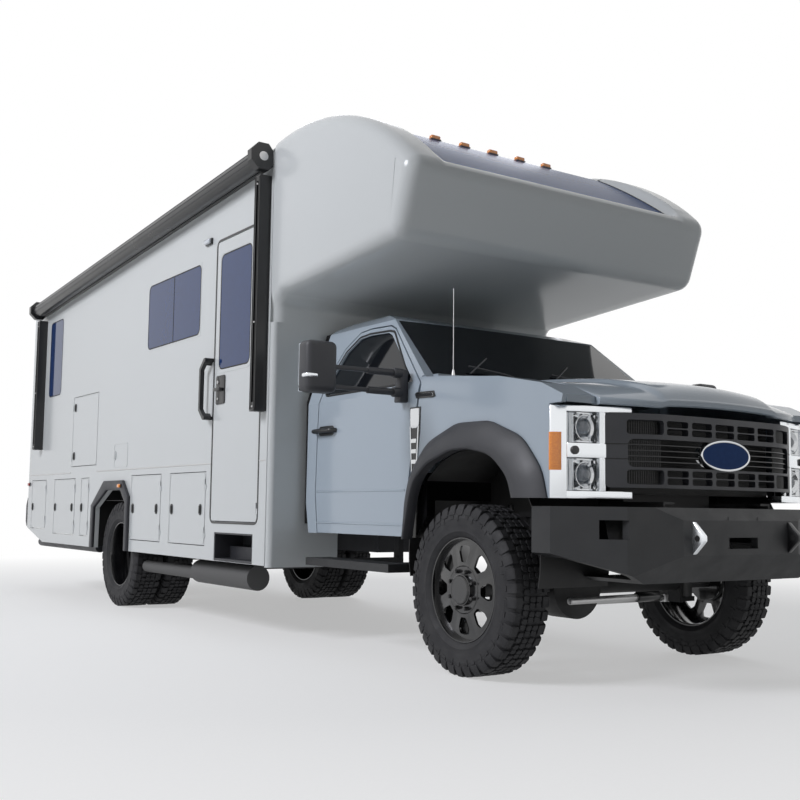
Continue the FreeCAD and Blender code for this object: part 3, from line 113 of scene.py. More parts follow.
def add_node(
    material: bpy.types.Material | bpy.types.World, kind: str, links: dict | None = None,
    **settings: object,
) -> bpy.types.Node:
    """Add one node to a material or a world and set its sockets and properties.

    Args:
        material: The material that gets the node.
        kind: The node's type, without the "ShaderNode" in front.
        links: Sockets or values that feed this node, by the name or number of its own socket.
        **settings: Values for sockets, by their names with underscores, or for properties.

    Returns:
        The new node.
    """
    node = material.node_tree.nodes.new("ShaderNode" + kind)
    for key, value in settings.items():
        socket = node.inputs.get(key.replace("_", " "))
        if socket is not None and not hasattr(type(node), key):
            socket.default_value = value
        else:
            setattr(node, key, value)
    for key, source in (links or {}).items():
        if isinstance(source, bpy.types.NodeSocket):
            material.node_tree.links.new(source, node.inputs[key])
        else:
            node.inputs[key].default_value = source
    return node


@dataclass(frozen=True)
class Finish:
    """One surface: what it is made of, its colours, and a pattern worked out from real sizes.

    Grain sizes are in millimetres. Speckle mixes the second colour in, and relief is how
    strongly the grain stands out.
    """

    name: str
    colour: str
    second: str
    roughness: float
    metallic: float = 0.0
    ior: float = 1.5
    coat: float = 0.0
    grain_mm: float = 2.0
    speckle: float = 0.3
    relief: float = 0.0
    patch_mm: float = 400.0
    smudge: float = 0.05
    alpha: float = 1.0
    # Painted glow: emission strength that stands in for daylight shining through a lens.
    painted_glow: float = 0.0
    arch: bool = False

    def hide_arch(self, material: bpy.types.Material, place: bpy.types.NodeSocket,
                  colour: bpy.types.NodeSocket) -> bpy.types.NodeSocket:
        """Coat what lies inside the front wheel arches with black underseal.

        Args:
            material: The material under way.
            place: The point on the object.
            colour: The paint's colour.

        Returns:
            The colour with the underseal over it.
        """
        parts = add_node(material, "SeparateXYZ", {"Vector": place})
        out = add_node(material, "Math", {0: parts.outputs["X"]}, operation="ABSOLUTE")
        inside = add_node(material, "Math", {0: out.outputs[0], 1: ARCH_HALF_WIDTH},
                          operation="LESS_THAN")
        flat = add_node(material, "CombineXYZ", {"Y": parts.outputs["Y"], "Z": parts.outputs["Z"]})
        reach = add_node(material, "VectorMath", {0: flat.outputs[0], 1: ARCH_MIDDLE},
                         operation="DISTANCE")
        near = add_node(material, "Math", {0: reach.outputs["Value"], 1: ARCH_RADIUS},
                        operation="LESS_THAN")
        both = add_node(material, "Math", {0: inside.outputs[0], 1: near.outputs[0]},
                        operation="MULTIPLY")
        coat = add_node(material, "Mix", {"Factor": both.outputs[0], MIX_FIRST: colour,
                                          MIX_SECOND: linear("0b0b0c")}, data_type="RGBA")
        return coat.outputs[MIX_RESULT]

    def make(self) -> bpy.types.Material:
        """Build the finish as a material, once.

        Returns:
            The material with this finish's name.
        """
        if self.name in bpy.data.materials:
            return bpy.data.materials[self.name]
        material = bpy.data.materials.new(self.name)
        material.use_nodes = True
        shader = material.node_tree.nodes["Principled BSDF"]
        plain = {"Metallic": self.metallic, "IOR": self.ior, "Coat Weight": self.coat,
                 "Coat Roughness": COAT_ROUGHNESS, "Alpha": self.alpha}
        for socket, value in plain.items():
            shader.inputs[socket].default_value = value
        place = add_node(material, "TexCoord").outputs["Object"]
        grain = add_node(
            material, "TexNoise", {"Vector": place}, Scale=1000.0 / self.grain_mm, Detail=3.0
        )
        patch = add_node(
            material, "TexNoise", {"Vector": place}, Scale=1000.0 / self.patch_mm, Detail=4.0
        )
        speckle = add_node(
            material, "MapRange", {"Value": grain.outputs["Fac"]},
            From_Min=0.4, From_Max=0.7, To_Min=0.0, To_Max=self.speckle,
        )
        colours = add_node(
            material, "Mix", {"Factor": speckle.outputs["Result"], MIX_FIRST: linear(self.colour),
                              MIX_SECOND: linear(self.second)}, data_type="RGBA"
        )
        rough = add_node(
            material, "MapRange", {"Value": patch.outputs["Fac"]},
            From_Min=0.3, From_Max=0.7,
            To_Min=max(0.02, self.roughness - self.smudge),
            To_Max=min(1.0, self.roughness + self.smudge),
        )
        link = material.node_tree.links.new
        tone = colours.outputs[MIX_RESULT]
        if self.arch:
            tone = self.hide_arch(material, place, tone)
        link(tone, shader.inputs["Base Color"])
        link(rough.outputs["Result"], shader.inputs["Roughness"])
        if self.relief > 0:
            bump = add_node(
                material, "Bump", {"Height": grain.outputs["Fac"]},
                Strength=self.relief, Distance=self.grain_mm / 1000.0,
            )
            link(bump.outputs["Normal"], shader.inputs["Normal"])
        # Painted glow: the lens gives off its own colour as light, standing in for daylight shining
        # through it.
        if self.painted_glow > 0:
            link(tone, shader.inputs["Emission Color"])
            shader.inputs["Emission Strength"].default_value = self.painted_glow
        return material


# Sprayed polyester gel coat over glass fibre: deep gloss, with a faint orange-peel.
GEL_COAT = Finish("gel_coat", "a6b3be", "aab7c2", 0.14, ior=1.42, grain_mm=9, speckle=0.25,
                  relief=0.02, patch_mm=900, smudge=0.03)
# Baked automotive enamel under clear coat, a shade smoother than the house.
ENAMEL = Finish("grey_enamel", "a5b0b9", "a9b4bd", 0.16, ior=1.42, coat=0.15, grain_mm=6,
                speckle=0.2, relief=0.01, patch_mm=700, smudge=0.03, arch=True)
# Textured black powder coat, baked on folded plate: fine matt grit.
POWDER_COAT = Finish("black_powder_coat", "17181a", "26282b", 0.55, grain_mm=1.6, speckle=0.6,
                     relief=0.25, patch_mm=150, smudge=0.08)
# Satin black paint on extruded aluminium.
SATIN_BLACK = Finish("satin_black_paint", "101113", "17181a", 0.32, coat=0.2, grain_mm=3,
                     speckle=0.3, relief=0.03, patch_mm=250)
# Moulded polypropylene, dark grey with a leather-like mould grain.
MOULDED = Finish("moulded_polypropylene", "2c2d31", "3a3b40", 0.5, grain_mm=2.2, speckle=0.5,
                 relief=0.22, patch_mm=200, smudge=0.07)
# Gloss black enamel on cast alloy wheels.
WHEEL_ENAMEL = Finish("black_wheel_enamel", "0d0d0f", "141416", 0.22, coat=0.7, grain_mm=4,
                      speckle=0.3, patch_mm=120)
# Vulcanised tread rubber: near black, dusty on its faces.
RUBBER = Finish("tread_rubber", "17171a", "2a2a2c", 0.72, grain_mm=3.0, speckle=0.7,
                relief=0.3, patch_mm=90, smudge=0.1)
# Chassis black: brushed-on underseal over rolled steel.
UNDERSEAL = Finish("chassis_underseal", "101112", "1d1d1f", 0.6, grain_mm=5, speckle=0.6,
                   relief=0.3, patch_mm=180, smudge=0.1)
# Sand-cast iron, dark and rough.
CAST_IRON = Finish("cast_iron", "1c1c1d", "2e2c2b", 0.65, metallic=0.6, grain_mm=2.5,
                   speckle=0.7, relief=0.45, patch_mm=120, smudge=0.1)
# Bare stainless steel tube, lightly brushed.
STEEL = Finish("bare_steel", "8f9092", "a5a6a8", 0.3, metallic=1.0, grain_mm=1.2, speckle=0.5,
               relief=0.05, patch_mm=80, smudge=0.1)
# Bright chrome plate over moulded trim.
CHROME = Finish("chrome_plate", "d4d6d8", "dcdee0", 0.07, metallic=1.0, grain_mm=6,
                speckle=0.3, patch_mm=200, smudge=0.03)
# Injection-moulded ABS, off white, on the roof.
WHITE_ABS = Finish("white_abs", "d2d4d4", "dadcdc", 0.4, grain_mm=2, speckle=0.4, relief=0.08,
                   patch_mm=300)
# Tinted safety glass, drawn opaque: its dark is the tint together with painted shade of the room
# behind, and its blue cast is a painted reflection of blue sky.
DARK_GLASS = Finish("dark_tinted_glass", "1a3462", "1e3a6c", 0.05, ior=1.45, grain_mm=60,
                    speckle=0.3, patch_mm=700, smudge=0.01)
# Cab glass, drawn opaque: its near-black colour is painted shade that stands in for the shaded
# cabin behind it.
CAB_GLASS = Finish("dark_cab_glass", "0a0e14", "0d1219", 0.04, ior=1.45, grain_mm=60,
                   speckle=0.3, patch_mm=700, smudge=0.01)
# Cast acrylic of the cap's sunken panel: a dark panel whose deep blue is partly a painted
# reflection of blue sky. Its real index would mirror the backdrop over the whole panel at this low
# angle, so it is set lower.
DARK_ACRYLIC = Finish("dark_acrylic_panel", "2f4a7c", "365489", 0.25, ior=1.12, grain_mm=30,
                      speckle=0.3, patch_mm=900, smudge=0.02)
# Clear polycarbonate over bright reflectors.
LAMP_CLEAR = Finish("lamp_polycarbonate", "c6ccd2", "dde2e6", 0.08, coat=1.0, grain_mm=12,
                    speckle=0.6, relief=0.15, patch_mm=90, smudge=0.03)
# Coloured acrylic lenses with moulded ribs. Their faint glow is painted light: an emission that
# stands in for daylight shining through them from behind.
AMBER_LENS = Finish("amber_lens", "d9770a", "f09a1c", 0.15, coat=1.0, grain_mm=7, speckle=0.6,
                    relief=0.15, patch_mm=60, painted_glow=0.15)
RED_LENS = Finish("red_lens", "8e1210", "b3211c", 0.15, coat=1.0, grain_mm=7, speckle=0.6,
                  relief=0.15, patch_mm=60, painted_glow=0.08)
# Woven seat fabric and moulded dash skin.
CAB_FABRIC = Finish("cab_fabric", "1d1e21", "2b2c30", 0.8, grain_mm=1.8, speckle=0.8,
                    relief=0.4, patch_mm=90, smudge=0.08)
# Metallised moulded trim round the headlamps: near white, softly bright.
LAMP_TRIM = Finish("lamp_trim", "eceff2", "f2f4f6", 0.22, metallic=0.92, grain_mm=5, speckle=0.2,
                   patch_mm=150, smudge=0.03)
# Ground glass of the projector lenses: smooth, grey-blue.
SMOKED_LENS = Finish("projector_lens", "5d6670", "7b8794", 0.06, coat=1.0, grain_mm=6,
                     speckle=0.4, patch_mm=60, smudge=0.02)
# Hard-coated polycarbonate cover, nearly clear.
COVER_CLEAR = Finish("clear_lamp_cover", "b9c0c6", "c6ccd2", 0.04, coat=1.0, grain_mm=40,
                     speckle=0.2, patch_mm=300, smudge=0.01, alpha=0.07)
# Silvered flat glass: a clean mirror.
MIRROR_GLASS = Finish("silvered_glass", "b9c0c8", "c2c9d0", 0.03, metallic=1.0, grain_mm=50,
                      speckle=0.2, patch_mm=300, smudge=0.01)
# Extruded EPDM edge seal: matt black rubber.
EPDM = Finish("edge_rubber_seal", "0b0b0c", "131314", 0.6, grain_mm=2, speckle=0.5, relief=0.1,
              patch_mm=120)


NODE_FINISHES: dict[Finish, tuple[str, ...]] = {
    GEL_COAT: ("house_wall_right", "house_wall_left", "house_wall_rear", "house_front_panels",
               "house_roof", "front_cap", "entry_door", "service_door", "left_bay_door_1",
               "left_bay_door_2", *(f"bay_door_{number}" for number in range(1, 6))),
    ENAMEL: ("cab_shell", "cab_door_left", "cab_door_right", "front_fenders", "hood"),
    POWDER_COAT: ("front_bumper", "running_boards"),
    SATIN_BLACK: ("awning_case", "awning_arms", "grab_handle"),
    MOULDED: ("fender_flares", "grille", "entry_step", "mirror_left", "mirror_right",
              "rear_bumper", "tanks"),
    WHEEL_ENAMEL: ("front_rim_left", "front_rim_right", "rear_rims_left", "rear_rims_right"),
    RUBBER: ("front_tyre_left", "front_tyre_right", "rear_tyres_left", "rear_tyres_right"),
    UNDERSEAL: ("frame", "front_axle", "rear_axle", "house_floor"),
    CAST_IRON: ("engine_block", "knuckle_left", "knuckle_right", "exhaust"),
    STEEL: ("tie_rod",),
    LAMP_TRIM: ("headlamp_surrounds",),
    WHITE_ABS: ("roof_units",),
    DARK_GLASS: ("entry_door_glass",),
    CAB_GLASS: ("fixed_glass", "cab_door_glass_left", "cab_door_glass_right"),
    DARK_ACRYLIC: ("cap_panel",),
    LAMP_CLEAR: ("headlamp_lenses", "body_lamps"),
    CAB_FABRIC: ("cab_interior",),
}


def dress_nodes() -> None:
    """Give every node of the frame its finish."""
    for finish, names in NODE_FINISHES.items():
        material = finish.make()
        for name in names:
            mesh = NODES[name].data
            mesh.materials.clear()
            mesh.materials.append(material)


# Places


def behind(length: float) -> float:
    """Find the Y of a point that lies behind the front axle.

    Args:
        length: Its distance behind the axle in millimetres.

    Returns:
        Its Y in metres.
    """
    return FRONT_AXLE + length / 1000


def at(across: float, along: float, up: float) -> tuple[float, float, float]:
    """Place a point given in millimetres.

    Args:
        across: Its distance from the vehicle's middle, to the left.
        along: Its distance behind the front axle.
        up: Its height above the ground.

    Returns:
        The point in metres.
    """
    return across / 1000, behind(along), up / 1000


def side_view(points: Sequence[tuple]) -> list[tuple]:
    """Place an outline seen from the side.

    Args:
        points: Its points in millimetres, as (behind the front axle, height).

    Returns:
        Its (Y, Z) points in metres.
    """
    return [(behind(along), up / 1000) for along, up in points]


def plan_view(points: Sequence[tuple], way: int) -> list[tuple]:
    """Place an outline seen from above.

    Args:
        points: Its points in millimetres, as (out, behind the front axle).
        way: The side, as one or minus one.

    Returns:
        Its (X, Y) points in metres.
    """
    return [(way * out / 1000, behind(along)) for out, along in points]


# Modelling


def rounded_path(
    points: Sequence[Point], radius: float | Sequence[float], steps: int = 6
) -> list[Vector]:
    """Round the inner corners of a path with arcs.

    Args:
        points: The path's corners.
        radius: Radius of every arc, or one for each inner corner, cut down where a run is short.
        steps: Points along each arc.

    Returns:
        The path's points, arcs included.
    """
    corners = [Vector(point) for point in points]
    path = [corners[0]]
    for index, (before, corner, after) in enumerate(zip(corners, corners[1:], corners[2:])):
        back, ahead = (before - corner), (after - corner)
        half = back.angle(ahead) / 2
        if half > math.radians(89):
            path.append(corner)
            continue
        wanted = radius[index] if isinstance(radius, (tuple, list)) else radius
        reach = min(wanted / math.tan(half), 0.49 * back.length, 0.49 * ahead.length)
        start, end = corner + back.normalized() * reach, corner + ahead.normalized() * reach
        away = (back.normalized() + ahead.normalized()).normalized()
        centre = corner + away * reach / math.cos(half)
        for step in range(steps + 1):
            spoke = (start - centre).normalized().slerp((end - centre).normalized(), step / steps)
            path.append(centre + spoke * (start - centre).length)
    path.append(corners[-1])
    return path


def rounded_outline(low: Point, high: Point, radius: float, steps: int = 5) -> list[tuple]:
    """A rectangle with round corners, as flat points.

    Args:
        low: Lowest corner.
        high: Highest corner.
        radius: Corner radius.
        steps: Points along each corner.

    Returns:
        The outline's points, counter-clockwise.
    """
    centres = (
        (high[0] - radius, high[1] - radius, 0.0),
        (low[0] + radius, high[1] - radius, 90.0),
        (low[0] + radius, low[1] + radius, 180.0),
        (high[0] - radius, low[1] + radius, 270.0),
    )
    points = []
    for across, up, start in centres:
        for step in range(steps + 1):
            angle = math.radians(start + 90.0 * step / steps)
            points.append((across + radius * math.cos(angle), up + radius * math.sin(angle)))
    return points


def side_outline(
    opening: Opening, inset: float, radius: float, steps: int = 5
) -> list[tuple]:
    """Outline an opening of the vehicle's side, with round corners.

    Args:
        opening: The opening.
        inset: How far the outline is drawn inwards, in millimetres.
        radius: Corner radius in metres.
        steps: Points along each corner.

    Returns:
        Its (Y, Z) points in metres.
    """
    start, end, bottom, top = opening
    return rounded_outline((behind(start + inset), (bottom + inset) / 1000),
                           (behind(end - inset), (top - inset) / 1000), radius, steps)


class Shape:
    """A mesh under way, in metres, shaped by bmesh operators."""

    def __init__(self) -> None:
        """Start with an empty mesh and the first finish."""
        self.mesh = bmesh.new()
        self.paint = 0

    def use(self, paint: int) -> "Shape":
        """Give what is made next another of the piece's finishes.

        Args:
            paint: The finish's place in the piece's list.

        Returns:
            This shape.
        """
        self.paint = paint
        return self

    def _done(
        self, faces: Iterable, bevel: float, segments: int, edges: Iterable | None = None
    ) -> list:
        """Paint new faces, point them outwards and round their edges.

        Args:
            faces: The new faces.
            bevel: Width of the rounding, or zero.
            segments: Steps across the rounding.
            edges: The edges to round, or all of the faces' edges.

        Returns:
            All faces of the new stretch, rounding included.
        """
        faces = list(faces)
        for face in faces:
            face.material_index = self.paint
        bmesh.ops.recalc_face_normals(self.mesh, faces=faces)
        if bevel <= 0.0:
            return faces
        wanted = list(edges) if edges is not None else list({e for f in faces for e in f.edges})
        result = bmesh.ops.bevel(
            self.mesh, geom=wanted, offset=bevel, offset_type="OFFSET", segments=segments,
            profile=0.5, affect="EDGES", material=-1, clamp_overlap=True,
        )
        found, queue = set(), list(result["faces"])
        while queue:
            face = queue.pop()
            if face not in found:
                found.add(face)
                queue += [other for edge in face.edges for other in edge.link_faces]
        return list(found)

    def _loop(self, outline: Sequence[tuple], axis: Axis, level: float) -> list:
        """Set a flat outline's points in space.

        Args:
            outline: Points in the plane across the axis, in the frame's order of axes.
            axis: The direction across the plane.
            level: Where the plane lies along the axis.

        Returns:
            The new vertices.
        """
        verts = []
        for point in outline:
            place = list(point)
            place.insert(axis.value, level)
            verts.append(self.mesh.verts.new(place))
        return verts

    def _raise(self, base: list, verts: list, axis: Axis, height: float) -> set:
        """Extrude flat faces along an axis.

        Args:
            base: The flat faces.
            verts: Their vertices.
            axis: The direction.
            height: How far they are drawn out.

        Returns:
            All faces of the new solid.
        """
        made = bmesh.ops.extrude_face_region(self.mesh, geom=base, use_keep_orig=True)["geom"]
        moved = [item for item in made if isinstance(item, bmesh.types.BMVert)]
        bmesh.ops.translate(self.mesh, verts=moved, vec=self._arrow(axis, height))
        return {f for v in verts + moved for f in v.link_faces}

    @staticmethod
    def _arrow(axis: Axis, length: float = 1.0) -> Vector:
        """Point along an axis.

        Args:
            axis: The direction.
            length: The arrow's length.

        Returns:
            The arrow.
        """
        arrow = Vector((0.0, 0.0, 0.0))
        arrow[axis.value] = length
        return arrow

    @staticmethod
    def whole(faces: Iterable) -> list:
        """List faces with their edges and corners, as the operators want them.

        Args:
            faces: The faces.

        Returns:
            The faces, then the edges and corners.
        """
        faces = list(faces)
        edges = {edge for face in faces for edge in face.edges}
        return faces + list(edges | {vert for face in faces for vert in face.verts})

    def box(self, low: Point, high: Point, bevel: float = 0.0, segments: int = 2) -> list:
        """Make a block between two corners.

        Args:
            low: Lowest corner.
            high: Highest corner.
            bevel: Width of the rounding of its edges.
            segments: Steps across the rounding.

        Returns:
            The block's faces.
        """
        low, high = Vector(map(min, low, high)), Vector(map(max, low, high))
        place = Matrix.Translation((low + high) / 2) @ Matrix.Diagonal((*(high - low), 1.0))
        verts = bmesh.ops.create_cube(self.mesh, size=1.0, matrix=place)["verts"]
        return self._done({f for v in verts for f in v.link_faces}, bevel, segments)

    def rod(
        self, start: Point, end: Point, radius: float, end_radius: float | None = None,
        segments: int = 24, bevel: float = 0.0,
    ) -> list:
        """Make a round bar or a cone between two points.

        Args:
            start: Middle of its first end.
            end: Middle of its other end.
            radius: Radius at the start.
            end_radius: Radius at the end, if it differs.
            segments: Sides of the round.
            bevel: Width of the rounding of its rims.

        Returns:
            The rod's faces.
        """
        start, end = Vector(start), Vector(end)
        turn = (end - start).to_track_quat("Z", "Y").to_matrix().to_4x4()
        verts = bmesh.ops.create_cone(
            self.mesh, cap_ends=True, segments=segments, radius1=radius,
            radius2=radius if end_radius is None else end_radius, depth=(end - start).length,
            matrix=Matrix.Translation((start + end) / 2) @ turn,
        )["verts"]
        faces = {f for v in verts for f in v.link_faces}
        rims = {e for f in faces if len(f.verts) > 4 for e in f.edges}
        return self._done(faces, bevel, 2, rims)

    def prism(
        self, outline: Sequence[tuple], axis: Axis, low: float, high: float,
        bevel: float = 0.0, segments: int = 2, rims_only: bool = False,
    ) -> list:
        """Make a solid of one flat outline.

        Args:
            outline: Points in the plane across the axis, in the frame's order of axes.
            axis: The direction it is extruded in.
            low: Where it starts along the axis.
            high: Where it ends.
            bevel: Width of the rounding of its edges.
            segments: Steps across the rounding.
            rims_only: Round the edges of the two flat faces only.

        Returns:
            The solid's faces.
        """
        verts = self._loop(outline, axis, low)
        faces = self._raise([self.mesh.faces.new(verts)], verts, axis, high - low)
        rims = {e for f in faces if len(f.verts) == len(verts) for e in f.edges}
        return self._done(faces, bevel, segments, rims if rims_only else None)

    def plate(
        self, outline: Sequence[tuple], holes: Sequence[Sequence[tuple]], axis: Axis,
        low: float, high: float,
    ) -> list:
        """Make a flat sheet with holes through it.

        Args:
            outline: Its outer points in the plane across the axis.
            holes: The outlines of its holes.
            axis: The direction of its thickness.
            low: Where it starts along the axis.
            high: Where it ends.

        Returns:
            The sheet's faces.
        """
        edges, verts = [], []
        for loop in (outline, *holes):
            ring = self._loop(loop, axis, low)
            edges += [self.mesh.edges.new(pair) for pair in zip(ring, ring[1:] + ring[:1])]
            verts += ring
        filled = bmesh.ops.triangle_fill(self.mesh, edges=edges, use_beauty=True)["geom"]
        base = [item for item in filled if isinstance(item, bmesh.types.BMFace)]
        return self._done(self._raise(base, verts, axis, high - low), 0.0, 0)

    def lathe(
        self, profile: Sequence[tuple], centre: Point, axis: Axis = Axis.X, steps: int = 64
    ) -> list:
        """Spin an outline of (along, radius) points round an axis.

        Args:
            profile: The outline, closed if its last point repeats its first.
            centre: A point on the axis, from which "along" is measured.
            axis: The axis' direction.
            steps: Steps round the axis.

        Returns:
            The faces.
        """
        centre = Vector(centre)
        closed = tuple(profile[0]) == tuple(profile[-1])
        points = profile[:-1] if closed else profile
        out = (axis.value + 1) % 3
        verts = []
        for along, radius in points:
            place = centre.copy()
            place[axis.value] += along
            place[out] += radius
            verts.append(self.mesh.verts.new(place))
        pairs = list(zip(verts, verts[1:])) + ([(verts[-1], verts[0])] if closed else [])
        edges = [self.mesh.edges.new(pair) for pair in pairs]
        before = set(self.mesh.faces)
        bmesh.ops.spin(
            self.mesh, geom=verts + edges, cent=centre, axis=self._arrow(axis), angle=2 * math.pi,
            steps=steps, use_merge=True, use_duplicate=False,
        )
        faces = [face for face in self.mesh.faces if face not in before]
        bmesh.ops.remove_doubles(
            self.mesh, verts=list({v for f in faces for v in f.verts}), dist=1e-6
        )
        return self._done([face for face in faces if face.is_valid], 0.0, 0)

    def loft(
        self, rings: Sequence[Sequence[Point]], closed: bool = True, caps: bool = True
    ) -> list:
        """Skin rings that have equal counts of points.

        Args:
            rings: The rings, in order.
            closed: Join each ring's last point to its first.
            caps: Close the two ends.

        Returns:
            The skin's faces.
        """
        rows = [[self.mesh.verts.new(point) for point in ring] for ring in rings]
        faces = []
        for before, after in zip(rows, rows[1:]):
            for index in range(len(before) if closed else len(before) - 1):
                other = (index + 1) % len(before)
                corners = (before[index], before[other], after[other], after[index])
                faces.append(self.mesh.faces.new(corners))
        if caps:
            faces += [self.mesh.faces.new(rows[0]), self.mesh.faces.new(rows[-1])]
        verts = [vert for row in rows for vert in row]
        bmesh.ops.remove_doubles(self.mesh, verts=verts, dist=1e-6)
        return self._done([face for face in faces if face.is_valid], 0.0, 0)

    def tube(self, path: Sequence[Point], radius: float, segments: int = 12) -> list:
        """Sweep a round along a path.

        Args:
            path: The points of its middle line.
            radius: Radius of the tube.
            segments: Sides of the round.

        Returns:
            The tube's faces.
        """
        points = [Vector(point) for point in path]
        turns = []
        for index, point in enumerate(points):
            ahead = points[min(index + 1, len(points) - 1)] - points[max(index - 1, 0)]
            turn = ahead.to_track_quat("Z", "Y").to_matrix().to_4x4()
            turns.append(Matrix.Translation(point) @ turn)
        for index in range(1, len(turns)):
            best = min(
                range(segments),
                key=lambda step: (
                    (turns[index] @ Matrix.Rotation(2 * math.pi * step / segments, 4, "Z")).to_3x3()
                    @ Vector((1.0, 0.0, 0.0))
                    - turns[index - 1].to_3x3() @ Vector((1.0, 0.0, 0.0))
                ).length,
            )
            turns[index] = turns[index] @ Matrix.Rotation(2 * math.pi * best / segments, 4, "Z")
        ring = bmesh.ops.create_circle(
            self.mesh, cap_ends=True, segments=segments, radius=radius, matrix=turns[0]
        )["verts"]
        faces = {f for v in ring for f in v.link_faces}
        edges = list({e for v in ring for e in v.link_edges})
        for before, after in zip(turns, turns[1:]):
            made = bmesh.ops.extrude_edge_only(self.mesh, edges=edges)["geom"]
            ring = [item for item in made if isinstance(item, bmesh.types.BMVert)]
            edges = [item for item in made if isinstance(item, bmesh.types.BMEdge)]
            edges = [edge for edge in edges if all(vert in ring for vert in edge.verts)]
            bmesh.ops.transform(self.mesh, matrix=after @ before.inverted(), verts=ring)
            faces |= {f for v in ring for f in v.link_faces}
        faces.update(bmesh.ops.edgeloop_fill(self.mesh, edges=edges)["faces"])
        return self._done(faces, 0.0, 0)

    def repeat(self, faces: Iterable, centre: Point, axis: Axis, count: int) -> None:
        """Copy faces round an axis, so that there are count of them.

        Args:
            faces: What is copied.
            centre: A point on the axis.
            axis: The axis' direction.
            count: How many there are in the full turn.
        """
        bmesh.ops.spin(
            self.mesh, geom=self.whole(faces), cent=Vector(centre), axis=self._arrow(axis),
            angle=2 * math.pi * (count - 1) / count, steps=count - 1, use_duplicate=True,
        )

    def turn(self, faces: Iterable, centre: Point, axis: Axis, degrees: float) -> None:
        """Turn faces about an axis through a point.

        Args:
            faces: What is turned.
            centre: A point on the axis.
            axis: The axis' direction.
            degrees: The angle, by the right-hand rule.
        """
        verts = list({v for f in faces for v in f.verts})
        bmesh.ops.rotate(
            self.mesh, verts=verts, cent=Vector(centre),
            matrix=Matrix.Rotation(math.radians(degrees), 3, axis.name),
        )

    def piece(
        self, name: str, finishes: Sequence[Finish], body: str, slot: str,
        replaces: Sequence[str] = (), sharp: float = 32.0,
    ) -> bpy.types.Object:
        """Turn the mesh into a piece of the vehicle.

        Args:
            name: The piece's name.
            finishes: Its finishes, in the order that use() counts them.
            body: The body it rides on.
            slot: Not used.
            replaces: Nodes that it stands for.
            sharp: Edges that turn by more than this many degrees look sharp.

        Returns:
            The new object.
        """
        data = bpy.data.meshes.new(name)
        self.mesh.to_mesh(data)
        self.mesh.free()
        for finish in finishes:
            data.materials.append(finish.make())
        data.shade_smooth()
        data.set_sharp_from_angle(angle=math.radians(sharp))
        item = bpy.data.objects.new(name, data)
        bpy.context.scene.collection.objects.link(item)
        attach(item, body)
        if replaces:
            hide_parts(*replaces)
        LOG.info("%s rides on %s with %d faces", name, body, len(data.polygons))
        return item


# Wheels


